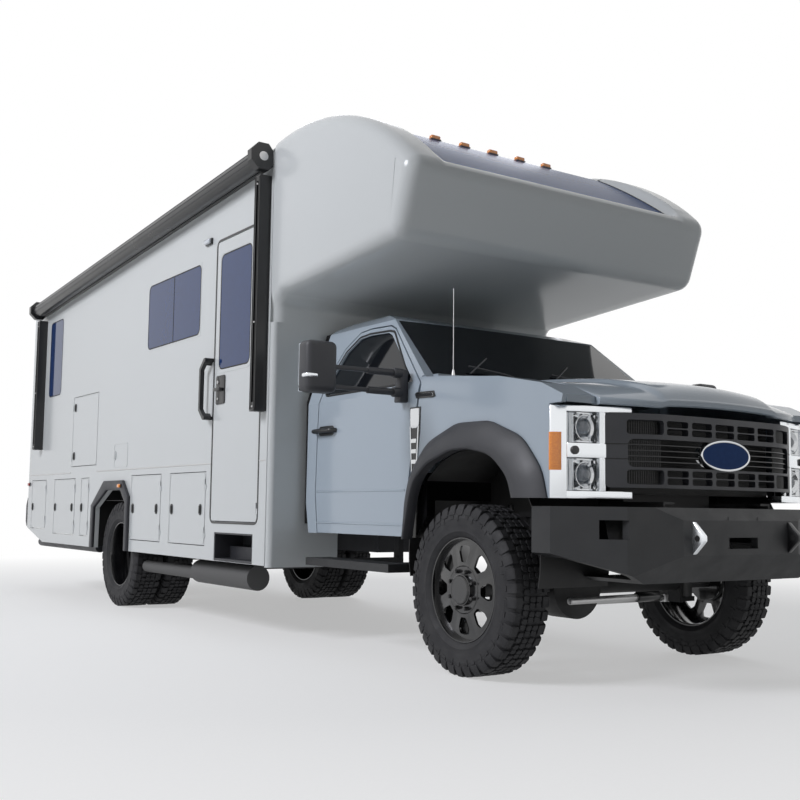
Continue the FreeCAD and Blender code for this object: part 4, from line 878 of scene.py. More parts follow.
@dataclass
class Tyre:
    """A traction tyre, or a pair: carcass, five rows of tread blocks and hooked sidewall lugs."""

    name: str
    node: str
    body: str
    middles: tuple[float, ...]
    axle: float
    radius: float = 0.470
    half_width: float = 0.131
    bead: float = 0.2885
    pitches: int = 38
    root: float = 0.452
    crown: float = 0.4688

    def carcass(self, shape: Shape, middle: float) -> None:
        """Spin the sidewalls and the tread's base.

        Args:
            shape: The mesh under way.
            middle: The tyre's distance from the vehicle's middle.
        """
        wall = [(0.106, self.bead + 0.001), (0.118, 0.3), (0.124, 0.315), (0.1275, 0.319),
                (0.1272, 0.3245), (0.1262, 0.327), (0.13, 0.35), (0.1308, 0.368),
                (0.1303, 0.388), (0.1312, 0.392), (0.13, 0.396), (0.127, 0.418),
                (0.119, 0.44), (0.104, 0.4535), (0.06, 0.4565)]
        mirrored = [(-along, radius) for along, radius in reversed(wall)]
        profile = wall + mirrored + [(-0.106, self.bead), (0.106, self.bead), wall[0]]
        shape.lathe(profile, (middle, self.axle, self.radius), Axis.X, 96)

    def row(self, shape: Shape, middle: float, outline: Sequence[tuple], shift: float) -> None:
        """Cut one row of tread blocks, standing at the top of the tyre and spun round it.

        Args:
            shape: The mesh under way.
            middle: The tyre's distance from the vehicle's middle.
            outline: The block's (across, along) corners.
            shift: How far the row is turned on, as a share of the pitch.
        """
        centre = (middle, self.axle, self.radius)
        points = [(middle + across, self.axle + along) for across, along in outline]
        base, top = self.radius + self.root, self.radius + self.crown
        faces = shape.prism(points, Axis.Z, base, top, 0.0022, 1)
        shape.turn(faces, centre, Axis.X, shift * 360 / self.pitches)
        shape.repeat(faces, centre, Axis.X, self.pitches)

    def tread(self, shape: Shape, middle: float) -> None:
        """Cut the middle row and the two beside it, each block split by a bent sipe.

        Args:
            shape: The mesh under way.
            middle: The tyre's distance from the vehicle's middle.
        """
        halves = (
            [(-0.019, -0.029), (0.01, -0.032), (0.019, -0.015), (0.014, -0.002), (-0.014, 0.001),
             (-0.019, -0.01)],
            [(0.014, 0.000), (0.019, 0.01), (0.017, 0.027), (-0.01, 0.032), (-0.018, 0.016),
             (-0.014, 0.003)],
        )
        for column, (across, turned) in enumerate(((0.0, 1), (-0.0425, -1), (0.0425, -1))):
            for outline in halves:
                placed = [(across + turned * x, turned * y) for x, y in outline]
                self.row(shape, middle, placed, 0.5 * (column % 2))

    def shoulder(self, shape: Shape, middle: float, way: int) -> None:
        """Wrap large blocks over one shoulder, with hooks on the sidewall below them.

        Args:
            shape: The mesh under way.
            middle: The tyre's distance from the vehicle's middle.
            way: Which side of the tyre, as one or minus one.
        """
        centre = (middle, self.axle, self.radius)
        for index, inner in enumerate((0.069, 0.076)):
            section = [(inner, 0.452), (inner, 0.4684), (0.106, 0.4672), (0.113, 0.466),
                       (0.119, 0.459), (0.129, 0.43), (0.1318, 0.413), (0.1285, 0.411),
                       (0.118, 0.435)]
            points = [(middle + way * x, self.radius + z) for x, z in section]
            half = 0.0285 - 0.003 * index
            faces = shape.prism(points, Axis.Y, self.axle - half, self.axle + half, 0.0025, 1)
            rib = shape.box((middle + way * 0.1085, self.axle - half + 0.004, self.radius + 0.46),
                            (middle + way * 0.1135, self.axle + half - 0.004, self.radius + 0.4686),
                            0.001, 1)
            hook = [(-0.02, 0.406), (0.008, 0.406), (0.008, 0.379), (0.018, 0.374),
                    (0.018, 0.401), (0.01, 0.415), (-0.02, 0.415)]
            if index:
                hook = [(-0.014, 0.388), (0.014, 0.388), (0.014, 0.408), (-0.014, 0.408)]
            places = [(self.axle + y, self.radius + z) for y, z in hook]
            lug = shape.prism(places, Axis.X, middle + way * 0.127, middle + way * 0.1332,
                              0.0014, 1)
            everything = faces + rib + lug
            shape.turn(everything, centre, Axis.X, index * 360 / self.pitches)
            shape.repeat(everything, centre, Axis.X, self.pitches // 2)

    def build(self) -> None:
        """Make the tyre or the pair in place of its plain node."""
        shape = Shape()
        for middle in self.middles:
            self.carcass(shape, middle)
            self.tread(shape, middle)
            self.shoulder(shape, middle, 1)
            self.shoulder(shape, middle, -1)
        shape.piece(self.name, [RUBBER], self.body, "tyre", [self.node])


@dataclass
class Wheel:
    """A rim or a dual pair of rims: barrel, dished disc with eight windows, hub and nuts."""

    side: Side
    name: str
    node: str
    body: str
    dishes: tuple[tuple[float, float, float], ...]
    axle: float
    height: float = 0.470
    radius: float = 0.2878
    half_width: float = 0.108
    hub: float = 0.132
    disc_edge: float = 0.275
    disc_thick: float = 0.014
    window_span: tuple[float, float] = (0.150, 0.243)
    windows: int = 8
    nuts: int = 8
    nut_circle: float = 0.107

    def window(self) -> list[tuple]:
        """Outline one rounded opening that lies at the top of the disc.

        Returns:
            The outline as flat points.
        """
        inner, outer = self.window_span
        corners = [(-0.022, inner), (0.022, inner), (0.047, (inner + outer) / 2 + 0.010),
                   (0.041, outer - 0.004), (0.0, outer), (-0.041, outer - 0.004),
                   (-0.047, (inner + outer) / 2 + 0.010)]
        loop = [(*corner, 0.0) for corner in corners]
        loop = [tuple(Vector(loop[-1]).lerp(Vector(loop[0]), 0.5))] + loop
        loop.append(loop[0])
        return [(point.x, point.y) for point in rounded_path(loop, 0.014, 3)[:-1]]

    def disc(self, shape: Shape, middle: float, rim: float, pad: float) -> None:
        """Spin one dished disc out of eight equal sectors, each with its window.

        Args:
            shape: The mesh under way.
            middle: Distance of the rim's middle from the vehicle's.
            rim: How far out the disc's edge lies from the rim's middle.
            pad: How far out its hub pad lies.
        """
        way, edge, sector = self.side.value, self.disc_edge, 360 / self.windows
        turns = [math.radians(90 + sector * (step / 8 - 0.5)) for step in range(9)]
        outline = [(edge * math.cos(turn), edge * math.sin(turn)) for turn in turns]
        outline += [(self.hub * math.cos(turn), self.hub * math.sin(turn))
                    for turn in reversed(turns)]
        faces = shape.plate(outline, [self.window()], Axis.X, 0.0,
                            -way * self.disc_thick)
        for vert in {v for f in faces for v in f.verts}:
            share = (edge - math.hypot(vert.co.y, vert.co.z)) / (edge - self.hub)
            vert.co.x += middle + way * (rim + (pad - rim) * math.sin(share * math.pi / 2))
            vert.co.y += self.axle
            vert.co.z += self.height
        shape.repeat(faces, (middle, self.axle, self.height), Axis.X, self.windows)

    def build(self) -> None:
        """Make the rims in place of their plain node."""
        shape = Shape()
        way = self.side.value
        for index, (middle, rim, pad) in enumerate(self.dishes):
            centre = (middle, self.axle, self.height)
            half, out = self.half_width, self.radius
            barrel = [(-half, 0.2800), (-half, out), (half - 0.003, out), (half, 0.2855),
                      (half, 0.2800), (half - 0.004, 0.2780), (half - 0.010, 0.2775),
                      (half - 0.018, 0.2740), (-half + 0.010, 0.2740), (-half, 0.2800)]
            shape.lathe([(way * along, radius) for along, radius in barrel], centre, Axis.X, 96)
            self.disc(shape, middle, rim, pad)
            nave = [(pad - 0.05, 0.046), (pad - 0.05, 0.133), (pad - 0.004, 0.133), (pad, 0.130),
                    (pad + 0.004, 0.126), (pad + 0.004, 0.046), (pad - 0.05, 0.046)]
            shape.lathe([(way * along, radius) for along, radius in nave], centre, Axis.X, 64)
            if index:
                continue
            cap = [(pad, 0.0), (pad, 0.088), (pad + 0.022, 0.086), (pad + 0.024, 0.080),
                   (pad + 0.030, 0.078), (pad + 0.034, 0.074), (pad + 0.034, 0.068),
                   (pad + 0.032, 0.066), (pad + 0.032, 0.0)]
            shape.lathe([(way * along, radius) for along, radius in cap], centre, Axis.X, 64)
            for number in range(self.nuts):
                turn = math.radians((number + 0.5) * 360 / self.nuts)
                place = [middle + way * (pad + 0.003),
                         self.axle + self.nut_circle * math.cos(turn),
                         self.height + self.nut_circle * math.sin(turn)]
                end = [place[0] + way * 0.024, place[1], place[2]]
                shape.rod(place, end, 0.0125, 0.0105, 6, 0.0012)
                shape.rod(end, [end[0] + way * 0.004, *end[1:]], 0.0075, 0.006, 12)
        shape.piece(self.name, [WHEEL_ENAMEL], self.body, "black_rim", [self.node], 40.0)


@dataclass
class RunningGear:
    """All six wheels."""

    front: float = 0.917
    rear: float = 1.092
    spacing: float = 0.285

    def build(self) -> None:
        """Make tyres and rims on both sides."""
        for side in Side:
            way, word = side.value, side.word
            outer, inner = way * self.rear, way * (self.rear - self.spacing)
            Tyre(f"front_tread_{word}", f"front_tyre_{word}", f"front_wheel_{word}",
                 (way * self.front,), FRONT_AXLE).build()
            Tyre(f"dual_treads_{word}", f"rear_tyres_{word}", f"rear_wheels_{word}",
                 (outer, inner), REAR_AXLE).build()
            Wheel(side, f"front_wheel_disc_{word}", f"front_rim_{word}", f"front_wheel_{word}",
                  ((way * self.front, 0.082, 0.098),), FRONT_AXLE).build()
            Wheel(side, f"dual_wheel_discs_{word}", f"rear_rims_{word}", f"rear_wheels_{word}",
                  ((outer, -0.052, -0.075), (inner, 0.052, 0.075)), REAR_AXLE).build()


def smooth_step(value: float) -> float:
    """Ease from zero to one as the value goes from zero to one.

    Args:
        value: The value, cut to that range.

    Returns:
        The eased value.
    """
    value = min(1.0, max(0.0, value))
    return value * value * (3.0 - 2.0 * value)


def nose_line(out: float, edge: float, front: float) -> float:
    """How far behind the front axle the bowed nose lies, in millimetres.

    Args:
        out: Distance from the vehicle's middle.
        edge: Half of the nose's full width.
        front: Where its flat middle meets the swept sides, as a distance ahead of the axle.

    Returns:
        A distance behind the axle, so it is less than zero.
    """
    out = abs(out)
    if out <= 450:
        return -front - 17 * (1 - (out / 450) ** 2)
    share = (out - 450) / (edge - 450)
    return -front + 130 * share - 80 * share * (1 - share)


# Front cap


@dataclass
class Cap:
    """The moulded cap over the cab: rounded skin, sunken panel and seams."""

    half: float = 1270.0
    seam: float = 1898.5
    edge: float = 95.0
    recess_half: float = 991.0
    slope: float = 62.0
    arc_middle: tuple[float, float] = (1623.8, 1488.1)
    arc_radius: float = 2030.0

    def crown(self, along: float) -> float:
        """Find the height of the cap's upper arc.

        Args:
            along: Distance behind the front axle.

        Returns:
            The height there.
        """
        run = along - self.arc_middle[0]
        return self.arc_middle[1] + math.sqrt(self.arc_radius ** 2 - run ** 2)

    def floor(self, along: float) -> float:
        """Find the height of the sunken panel's bed.

        Args:
            along: Distance behind the front axle.

        Returns:
            The height there, or one far above the cap where there is no bed.
        """
        if along < 200:
            return 9000.0
        runs = ((200, 2905, 262, 2958, 12.6), (262, 2958, 290, 2935, 0.0),
                (290, 2935, 1010, 3381.5, 20.0), (1010, 3399.5, 1900, 3450, 0.0))
        for start, low, end, high, bow in runs:
            if along <= end:
                share = (along - start) / (end - start)
                return low + (high - low) * share + 4 * bow * share * (1 - share)
        return 3450.0

    def outline(self) -> list[tuple[float, float]]:
        """Trace the cap's side, from the pillar's foot under the nose and over the top.

        Returns:
            Its points in millimetres, as (behind the front axle, height).
        """
        corners = [(0, 1850, 2188), (0, 1850, 2369.5), (0, 329, 2484.3), (0, 175.7, 2910.9),
                   (0, 290, self.crown(290))]
        path = [(p.y, p.z) for p in rounded_path(corners, (130.0, 112.0, 112.0), 9)]
        last = path.pop()
        start = path[-1]
        for along in (240, 252, 262, 264, 277, 289.9, 290.1):
            share = (along - start[0]) / (last[0] - start[0])
            path.append((along, start[1] + (last[1] - start[1]) * share))
        over = [*range(320, 1000, 40), 1009, 1011, *range(1050, 1880, 50), self.seam]
        return path + [(along, self.crown(along)) for along in over]

    def ring(self, out: float, inset: float, sink: float) -> list[tuple]:
        """Place the outline at one distance from the vehicle's middle.

        Args:
            out: That distance.
            inset: How far the outline is drawn inwards, to round the sides.
            sink: How far it goes down to the panel's bed, from zero to one.

        Returns:
            Its points in metres.
        """
        path = self.outline()
        apex = min(range(len(path)), key=lambda index: path[index][0])
        points = []
        for index, (along, up) in enumerate(path):
            before, after = path[max(index - 1, 0)], path[min(index + 1, len(path) - 1)]
            run = Vector((after[0] - before[0], after[1] - before[1])).normalized()
            place = [along + run.y * inset, up - run.x * inset]
            if index > apex and sink > 0:
                place[1] += sink * (min(place[1], self.floor(place[0])) - place[1])
            if index == 0:
                place[1] = up
            points.append(at(out, min(place[0], self.seam), place[1]))
        return points

    def skin(self) -> None:
        """Loft the skin from side to side."""
        stations = [(self.half - self.edge + self.edge * math.cos(math.radians(turn)),
                     self.edge - self.edge * math.sin(math.radians(turn)), 0.0)
                    for turn in range(0, 91, 15)]
        for share in (0.0, 0.2, 0.4, 0.6, 0.8, 1.0):
            stations.append((self.recess_half + self.slope * (1 - share), 0.0, smooth_step(share)))
        stations += [(self.recess_half - 4, 0.0, 1.0), (500.0, 0.0, 1.0), (0.0, 0.0, 1.0)]
        stations += [(-out, inset, sink) for out, inset, sink in reversed(stations[:-1])]
        rings = [self.ring(*station) for station in stations]
        shape = Shape()
        shape.loft(rings, closed=False, caps=False)
        for ring in (rings[0], rings[-1]):
            foot = max(index for index in range(len(ring) // 2)
                       if ring[index][1] > behind(self.seam) - 1e-6)
            shape.mesh.faces.new([shape.mesh.verts.new(point) for point in ring[foot:]])
        bmesh.ops.remove_doubles(shape.mesh, verts=list(shape.mesh.verts), dist=1e-6)
        bmesh.ops.recalc_face_normals(shape.mesh, faces=list(shape.mesh.faces))
        shape.piece("cap_skin", [GEL_COAT], "chassis", "gel_coat", ["front_cap"], 28.0)

    def panel(self) -> None:
        """Lay the dark panel in its bed, with a rubber line round it."""
        top = [(along, self.floor(along) + 19) for along in range(292, 1008, 28)]
        under = [(along, up - 17) for along, up in reversed(top)]
        shape = Shape()
        shape.prism(side_view(top + under), Axis.X, -0.985, 0.985)
        shape.use(1)
        front = [at(-986, 288, 2950), at(986, 288, 2950)]
        shape.tube(front, 0.0055, 8)
        for way in (1, -1):
            line = [at(way * 988, along, up + 1) for along, up in top]
            shape.tube(line, 0.004, 8)
        shape.piece("cap_dark_panel", [DARK_ACRYLIC, EPDM], "chassis", "dark_gloss", ["cap_panel"])

    def seams(self) -> None:
        """Cover the joint between cap, front panels and walls with a thin moulding."""
        shape = Shape()
        for way in (1, -1):
            shape.box(at(way * 1269.5, 1889, 512), at(way * 1275.5, 1907, 3405), 0.0025)
        shape.piece("seam_mouldings", [GEL_COAT], "chassis", "gel_coat")

    def build(self) -> None:
        """Make the whole cap."""
        self.skin()
        self.panel()
        self.seams()


@dataclass
class Lamps:
    """Roof markers, side markers, porch lamp and tail lamps, in place of the plain blocks."""

    def build(self) -> None:
        """Make every body lamp with its base."""
        shape = Shape()
        for out in (-500, -250, 0, 250, 500):
            shape.use(3).box(at(out - 42, 1012, 3402), at(out + 42, 1052, 3412), 0.003)
            shape.use(0).box(at(out - 38, 1013, 3408), at(out + 38, 1050, 3437), 0.009, 3)
        for along, up, proud in ((4700, 1085, 30), (7720, 1134, 0)):
            base = 1270 + proud
            shape.use(3).box(at(-base - 8, along - 32, up - 20), at(-base, along + 32, up + 20),
                             0.003)
            shape.use(0 if along < 7000 else 1).box(
                at(-base - 24, along - 28, up - 16), at(-base - 6, along + 28, up + 16), 0.008, 3)
        shape.use(3).box(at(-1286, 2896, 2940), at(-1270, 3016, 2990), 0.006)
        shape.use(2).box(at(-1308, 2904, 2946), at(-1280, 3008, 2984), 0.012, 3)
        for way in (1, -1):
            inner, outer = way * 1018, way * 1142
            shape.use(3).box(at(way * 1010, 7767.5, 1040), at(way * 1150, 7776, 1230), 0.004)
            shape.use(1).box(at(inner, 7774, 1110), at(outer, 7796, 1222), 0.008, 3)
            shape.use(2).box(at(inner, 7774, 1048), at(outer, 7796, 1104), 0.008, 3)
        shape.piece("marker_lamps", [AMBER_LENS, RED_LENS, LAMP_CLEAR, SATIN_BLACK], "chassis",
                    "lamp", ["body_lamps"])


# Front end


@dataclass
class Hood:
    """The hood: a lofted skin with a raised middle and a rolled lip at the nose."""

    half: float = 790.0
    rear: float = 322.0
    ribs: tuple[tuple[float, float, float, float], ...] = (
        (332, 1650, 18, 22), (0, 1636, 24, 24), (-300, 1612, 28, 24), (-550, 1580, 36, 24),
        (-800, 1497, 82, 22), (-900, 1446, 98, 16), (-970, 1400, 86, 4), (-1000, 1375, 70, 0),
    )

    def section(self, along: float) -> tuple[float, float, float]:
        """Read the ribs, with a smooth curve from each to the next.

        Args:
            along: Distance behind the front axle.

        Returns:
            Edge height, dome and ridge there.
        """
        runs = list(zip(self.ribs, self.ribs[1:]))
        for index, (rear, ahead) in enumerate(runs):
            if along >= ahead[0] or index == len(runs) - 1:
                before = runs[max(index - 1, 0)][0]
                after = runs[min(index + 1, len(runs) - 1)][1]
                share = (along - rear[0]) / (ahead[0] - rear[0])
                values = []
                for place in (1, 2, 3):
                    run = ahead[0] - rear[0]
                    start = run * (ahead[place] - before[place]) / ((ahead[0] - before[0]) or run)
                    end = run * (after[place] - rear[place]) / ((after[0] - rear[0]) or run)
                    square, cube = share ** 2, share ** 3
                    ease = 3 * square - 2 * cube
                    values.append(
                        (1 - ease) * rear[place] + (cube - 2 * square + share) * start
                        + ease * ahead[place] + (cube - square) * end)
                return tuple(values)
        return tuple(self.ribs[-1][1:])

    def height(self, out: float, along: float) -> float:
        """Find the height of the skin at a point of its plan.

        Args:
            out: Distance from the vehicle's middle.
            along: Distance behind the front axle.

        Returns:
            The height there.
        """
        edge, dome, ridge = self.section(along)
        bump = smooth_step((475 - abs(out)) / 55)
        return edge + dome * (1 - (out / self.half) ** 2) + ridge * bump

    def build(self) -> None:
        """Loft the skin and hang its hinge knuckles."""
        outs = [0, 110, 220, 320, 400, 420, 432, 444, 456, 468, 480, 500, 560, 640, 710, 760, 782,
                788, 790]
        outs = [-out for out in reversed(outs[1:])] + outs
        rings = []
        for out in outs:
            front = nose_line(out, self.half, 961)
            lines = []
            for step in range(37):
                share = 1 - (1 - step / 36) ** 1.6
                along = self.rear + (front + 16 - self.rear) * share
                drop = 5.0 if abs(out) == 790 else 1.2 if abs(out) == 788 else 0.0
                lines.append((along, self.height(out, along) - drop))
            tip = lines[-1][1]
            lip = [(front + 7, tip - 5), (front + 2, tip - 11), (front, tip - 19),
                   (front + 3, tip - 34), (front + 14, tip - 40), (front + 60, tip - 36)]
            under = [(along, up - 11 - 14 * index / 36)
                     for index, (along, up) in enumerate(lines[:-6])]
            ring = lines + lip + list(reversed(under))
            rings.append([at(out, along, up) for along, up in ring])
        shape = Shape()
        shape.loft(rings)
        for way in (1, -1):
            shape.rod(at(way * 640, 326, 1628), at(way * 700, 326, 1628), 0.010, segments=16)
            shape.box(at(way * 645, 270, 1622), at(way * 695, 326, 1632), 0.002)
        shape.piece("hood_skin", [ENAMEL], "hood", "body_paint", ["hood"], 30.0)


@dataclass
class Grille:
    """The bowed grille: paired openings over and under a long slot, bars, mesh and bare oval."""

    half: float = 751.7
    low: float = 1029.0
    high: float = 1409.0
    thick: float = 42.0
    plaque: tuple[float, float] = (199.0, 85.0)

    def bend(self, shape: Shape, faces: Iterable) -> None:
        """Cut faces into upright strips and bow them to the nose's line.

        Args:
            shape: The mesh under way.
            faces: The flat faces.
        """
        for station in range(-720, 721, 48):
            cut = bmesh.ops.bisect_plane(
                shape.mesh, geom=shape.whole(faces), plane_co=(station / 1000, 0, 0),
                plane_no=(1, 0, 0), dist=1e-5,
            )["geom"]
            faces = [item for item in cut if isinstance(item, bmesh.types.BMFace)]
        for vert in {v for f in faces for v in f.verts}:
            vert.co.y += behind(nose_line(vert.co.x * 1000, self.half, 951))

    def plate(self) -> None:
        """Cut the openings out of the bowed plate."""
        holes = [rounded_outline((-0.647, 1.134), (0.647, 1.278), 0.030)]
        for base in (1047, 1302):
            for way in (1, -1):
                low, high = sorted((way * 454, way * 654))
                holes.append(rounded_outline((low / 1000, base / 1000),
                                             (high / 1000, (base + 74) / 1000), 0.018))
            for column in range(5):
                left = (column - 2) * 179 - 76
                for rise in (0, 40):
                    low, high = base + rise, base + rise + 34
                    holes.append(rounded_outline((left / 1000, low / 1000),
                                                 ((left + 152) / 1000, high / 1000), 0.011, 3))
        outline = rounded_outline((-self.half / 1000, self.low / 1000),
                                  (self.half / 1000, self.high / 1000), 0.030)
        shape = Shape()
        faces = shape.plate(outline, holes, Axis.Y, 0.0, self.thick / 1000)
        self.bend(shape, faces)
        shape.piece("grille_frame", [MOULDED], "chassis", "dark_plastic", ["grille"], 30.0)

    def across(self, low: float, high: float, up: float, depth: float) -> list[tuple]:
        """Follow the nose's line from one side to the other.

        Args:
            low: Where it starts, across the vehicle.
            high: Where it ends.
            up: Its height.
            depth: How far it lies behind the grille's face.

        Returns:
            Its points in metres.
        """
        steps = max(2, int(abs(high - low) / 60))
        stations = [low + (high - low) * step / steps for step in range(steps + 1)]
        return [at(out, nose_line(out, self.half, 951) + depth, up) for out in stations]

    def bars(self) -> None:
        """Stretch the fine bars, the upright mesh, the band's lines and the radiator behind."""
        shape = Shape()
        for up in (1163, 1191, 1220, 1249):
            shape.tube(self.across(-648, 648, up, 14), 0.0032, 8)
        for way in (1, -1):
            for step in range(17):
                out = way * (456 + 12 * step)
                for low, high in ((1046, 1122), (1132, 1280), (1301, 1377)):
                    depth = nose_line(out, self.half, 951) + 26
                    shape.box(at(out - 1.5, depth, low), at(out + 1.5, depth + 3, high))
            for up in (1176, 1251):
                line = self.across(way * 647, way * 748, up, -1.0)
                shape.use(1).tube(line, 0.0022, 6)
                shape.use(0)
        shape.use(1)
        shape.box(at(-640, -745, 1000), at(640, -700, 1400), 0.004)
        for step in range(19):
            shape.box(at(-630, -749, 1012 + 20 * step), at(630, -745, 1015 + 20 * step))
        shape.piece("grille_bars", [SATIN_BLACK, EPDM], "chassis", "dark_plastic")

    def oval(self, grow: float, depth: float) -> list[tuple]:
        """Draw an oval round the place in the grille's middle.

        Args:
            grow: How much wider it is all round than the oval plate.
            depth: Its distance behind the front axle.

        Returns:
            Its points in metres.
        """
        wide, tall = self.plaque[0] + grow, self.plaque[1] + grow
        return [at(wide * math.cos(turn), depth + 17 * (wide * math.cos(turn) / 450) ** 2,
                   1210 + tall * math.sin(turn))
                for turn in [math.radians(4 * step) for step in range(90)]]

    def emblem(self) -> None:
        """Set the bare oval in its bright ring."""
        shape = Shape()
        rings = [self.oval(-12, -930), self.oval(-12, -972), self.oval(-16, -977)]
        shape.loft(rings)
        shape.use(1)
        ring = [self.oval(0, -932), self.oval(0, -972), self.oval(-3, -979), self.oval(-8, -981),
                self.oval(-13, -978), self.oval(-15, -970)]
        shape.loft(ring, caps=False)
        shape.piece("bare_oval", [DARK_ACRYLIC, CHROME], "chassis", "bright")

    def build(self) -> None:
        """Make the whole grille."""
        self.plate()
        self.bars()
        self.emblem()


@dataclass
class Headlamps:
    """Both headlamps: C-shaped bright surrounds, stacked reflectors, covers and amber edges."""

    reflector: float = 62.0

    def surround(self, shape: Shape, way: int) -> None:
        """Mould the C round one lamp.

        Args:
            shape: The mesh under way.
            way: The side, as one or minus one.
        """
        column = [(950, -757), (985, -733), (1010, -714), (1016, -706), (1016, -700), (950, -700)]
        shape.prism(plan_view(column, way), Axis.Z, 0.971, 1.440, 0.003)
        arm = [(605, -872), (660, -856), (705, -841), (752, -822), (852, -792), (951, -757),
               (951, -700), (702, -700), (605, -815)]
        for low, high in ((971, 1009), (1409, 1440)):
            shape.prism(plan_view(arm, way), Axis.Z, low / 1000, high / 1000, 0.0035)
        bar = [(745, -824), (778, -815), (778, -790), (745, -798)]
        shape.prism(plan_view(bar, way), Axis.Z, 1.008, 1.410, 0.003)

    def bowl(self, shape: Shape, way: int, up: float) -> None:
        """Press one reflector with its projector lens.

        Args:
            shape: The mesh under way.
            way: The side, as one or minus one.
            up: Height of its middle.
        """
        middle = at(way * 838, -772, up)
        wide = self.reflector / 1000
        deep = [(0.046 * (1 - (share / 8) ** 2), wide * share / 8) for share in range(9)]
        shape.use(0).lathe(deep[1:] + [(0.0, wide + 0.004), (0.004, wide + 0.004)], middle,
                           Axis.Y, 40)
        profile = [(0.036, 0.0), (0.036, 0.034), (0.010, 0.034), (0.0, 0.030), (-0.009, 0.019),
                   (-0.012, 0.0)]
        shape.use(1).lathe(profile, middle, Axis.Y, 32)

    def unit(self, shape: Shape, way: int) -> None:
        """Fill one lamp: two reflectors, the middle module and the covers.

        Args:
            shape: The mesh under way.
            way: The side, as one or minus one.
        """
        shape.use(3)
        back = [(752, -712), (950, -712), (950, -702), (752, -702)]
        shape.prism(plan_view(back, way), Axis.Z, 1.0095, 1.4088)
        for low, high in ((1012, 1172), (1254, 1406)):
            self.bowl(shape, way, (low + high) / 2)
            shape.use(0)
            facets = [(756, -712), (756, -760), (772, -732), (786, -758), (800, -726), (886, -722),
                      (900, -752), (912, -728), (926, -748), (936, -726), (949, -744), (949, -712)]
            shape.prism(plan_view(facets, way), Axis.Z, low / 1000, high / 1000)
            for up in (low, high - 8):
                shape.box(at(way * 756, -776, up), at(way * 900, -712, up + 8))
        shape.use(2)
        module = [(742, -827), (850, -799), (950, -764), (950, -712), (742, -712)]
        shape.prism(plan_view(module, way), Axis.Z, 1.176, 1.250, 0.004)
        shape.use(3).rod(at(way * 918, -790, 1213), at(way * 914, -764, 1213), 0.022, segments=28,
                         bevel=0.003)
        shape.use(4)
        cover = [(753, -822), (800, -811), (850, -796), (900, -778), (949, -759), (948, -756),
                 (900, -775), (850, -793), (800, -808), (753, -819)]
        for low, high in ((1010, 1174), (1252, 1408)):
            shape.prism(plan_view(cover, way), Axis.Z, low / 1000, high / 1000)
        shape.use(5)
        amber = [(974, -746), (990, -736), (1012, -719), (1019, -708), (1019, -698), (1008, -706),
                 (972, -732)]
        shape.prism(plan_view(amber, way), Axis.Z, 1.112, 1.304, 0.0025)

    def build(self) -> None:
        """Make both lamps."""
        trim, lamp = Shape(), Shape()
        for way in (1, -1):
            self.surround(trim, way)
            self.unit(lamp, way)
        trim.piece("lamp_trims", [LAMP_TRIM], "chassis", "bright", ["headlamp_surrounds"], 30.0)
        finishes = [CHROME, SMOKED_LENS, LAMP_TRIM, SATIN_BLACK, COVER_CLEAR, AMBER_LENS]
        lamp.piece("lamp_units", finishes, "chassis", "lamp", ["headlamp_lenses"], 28.0)


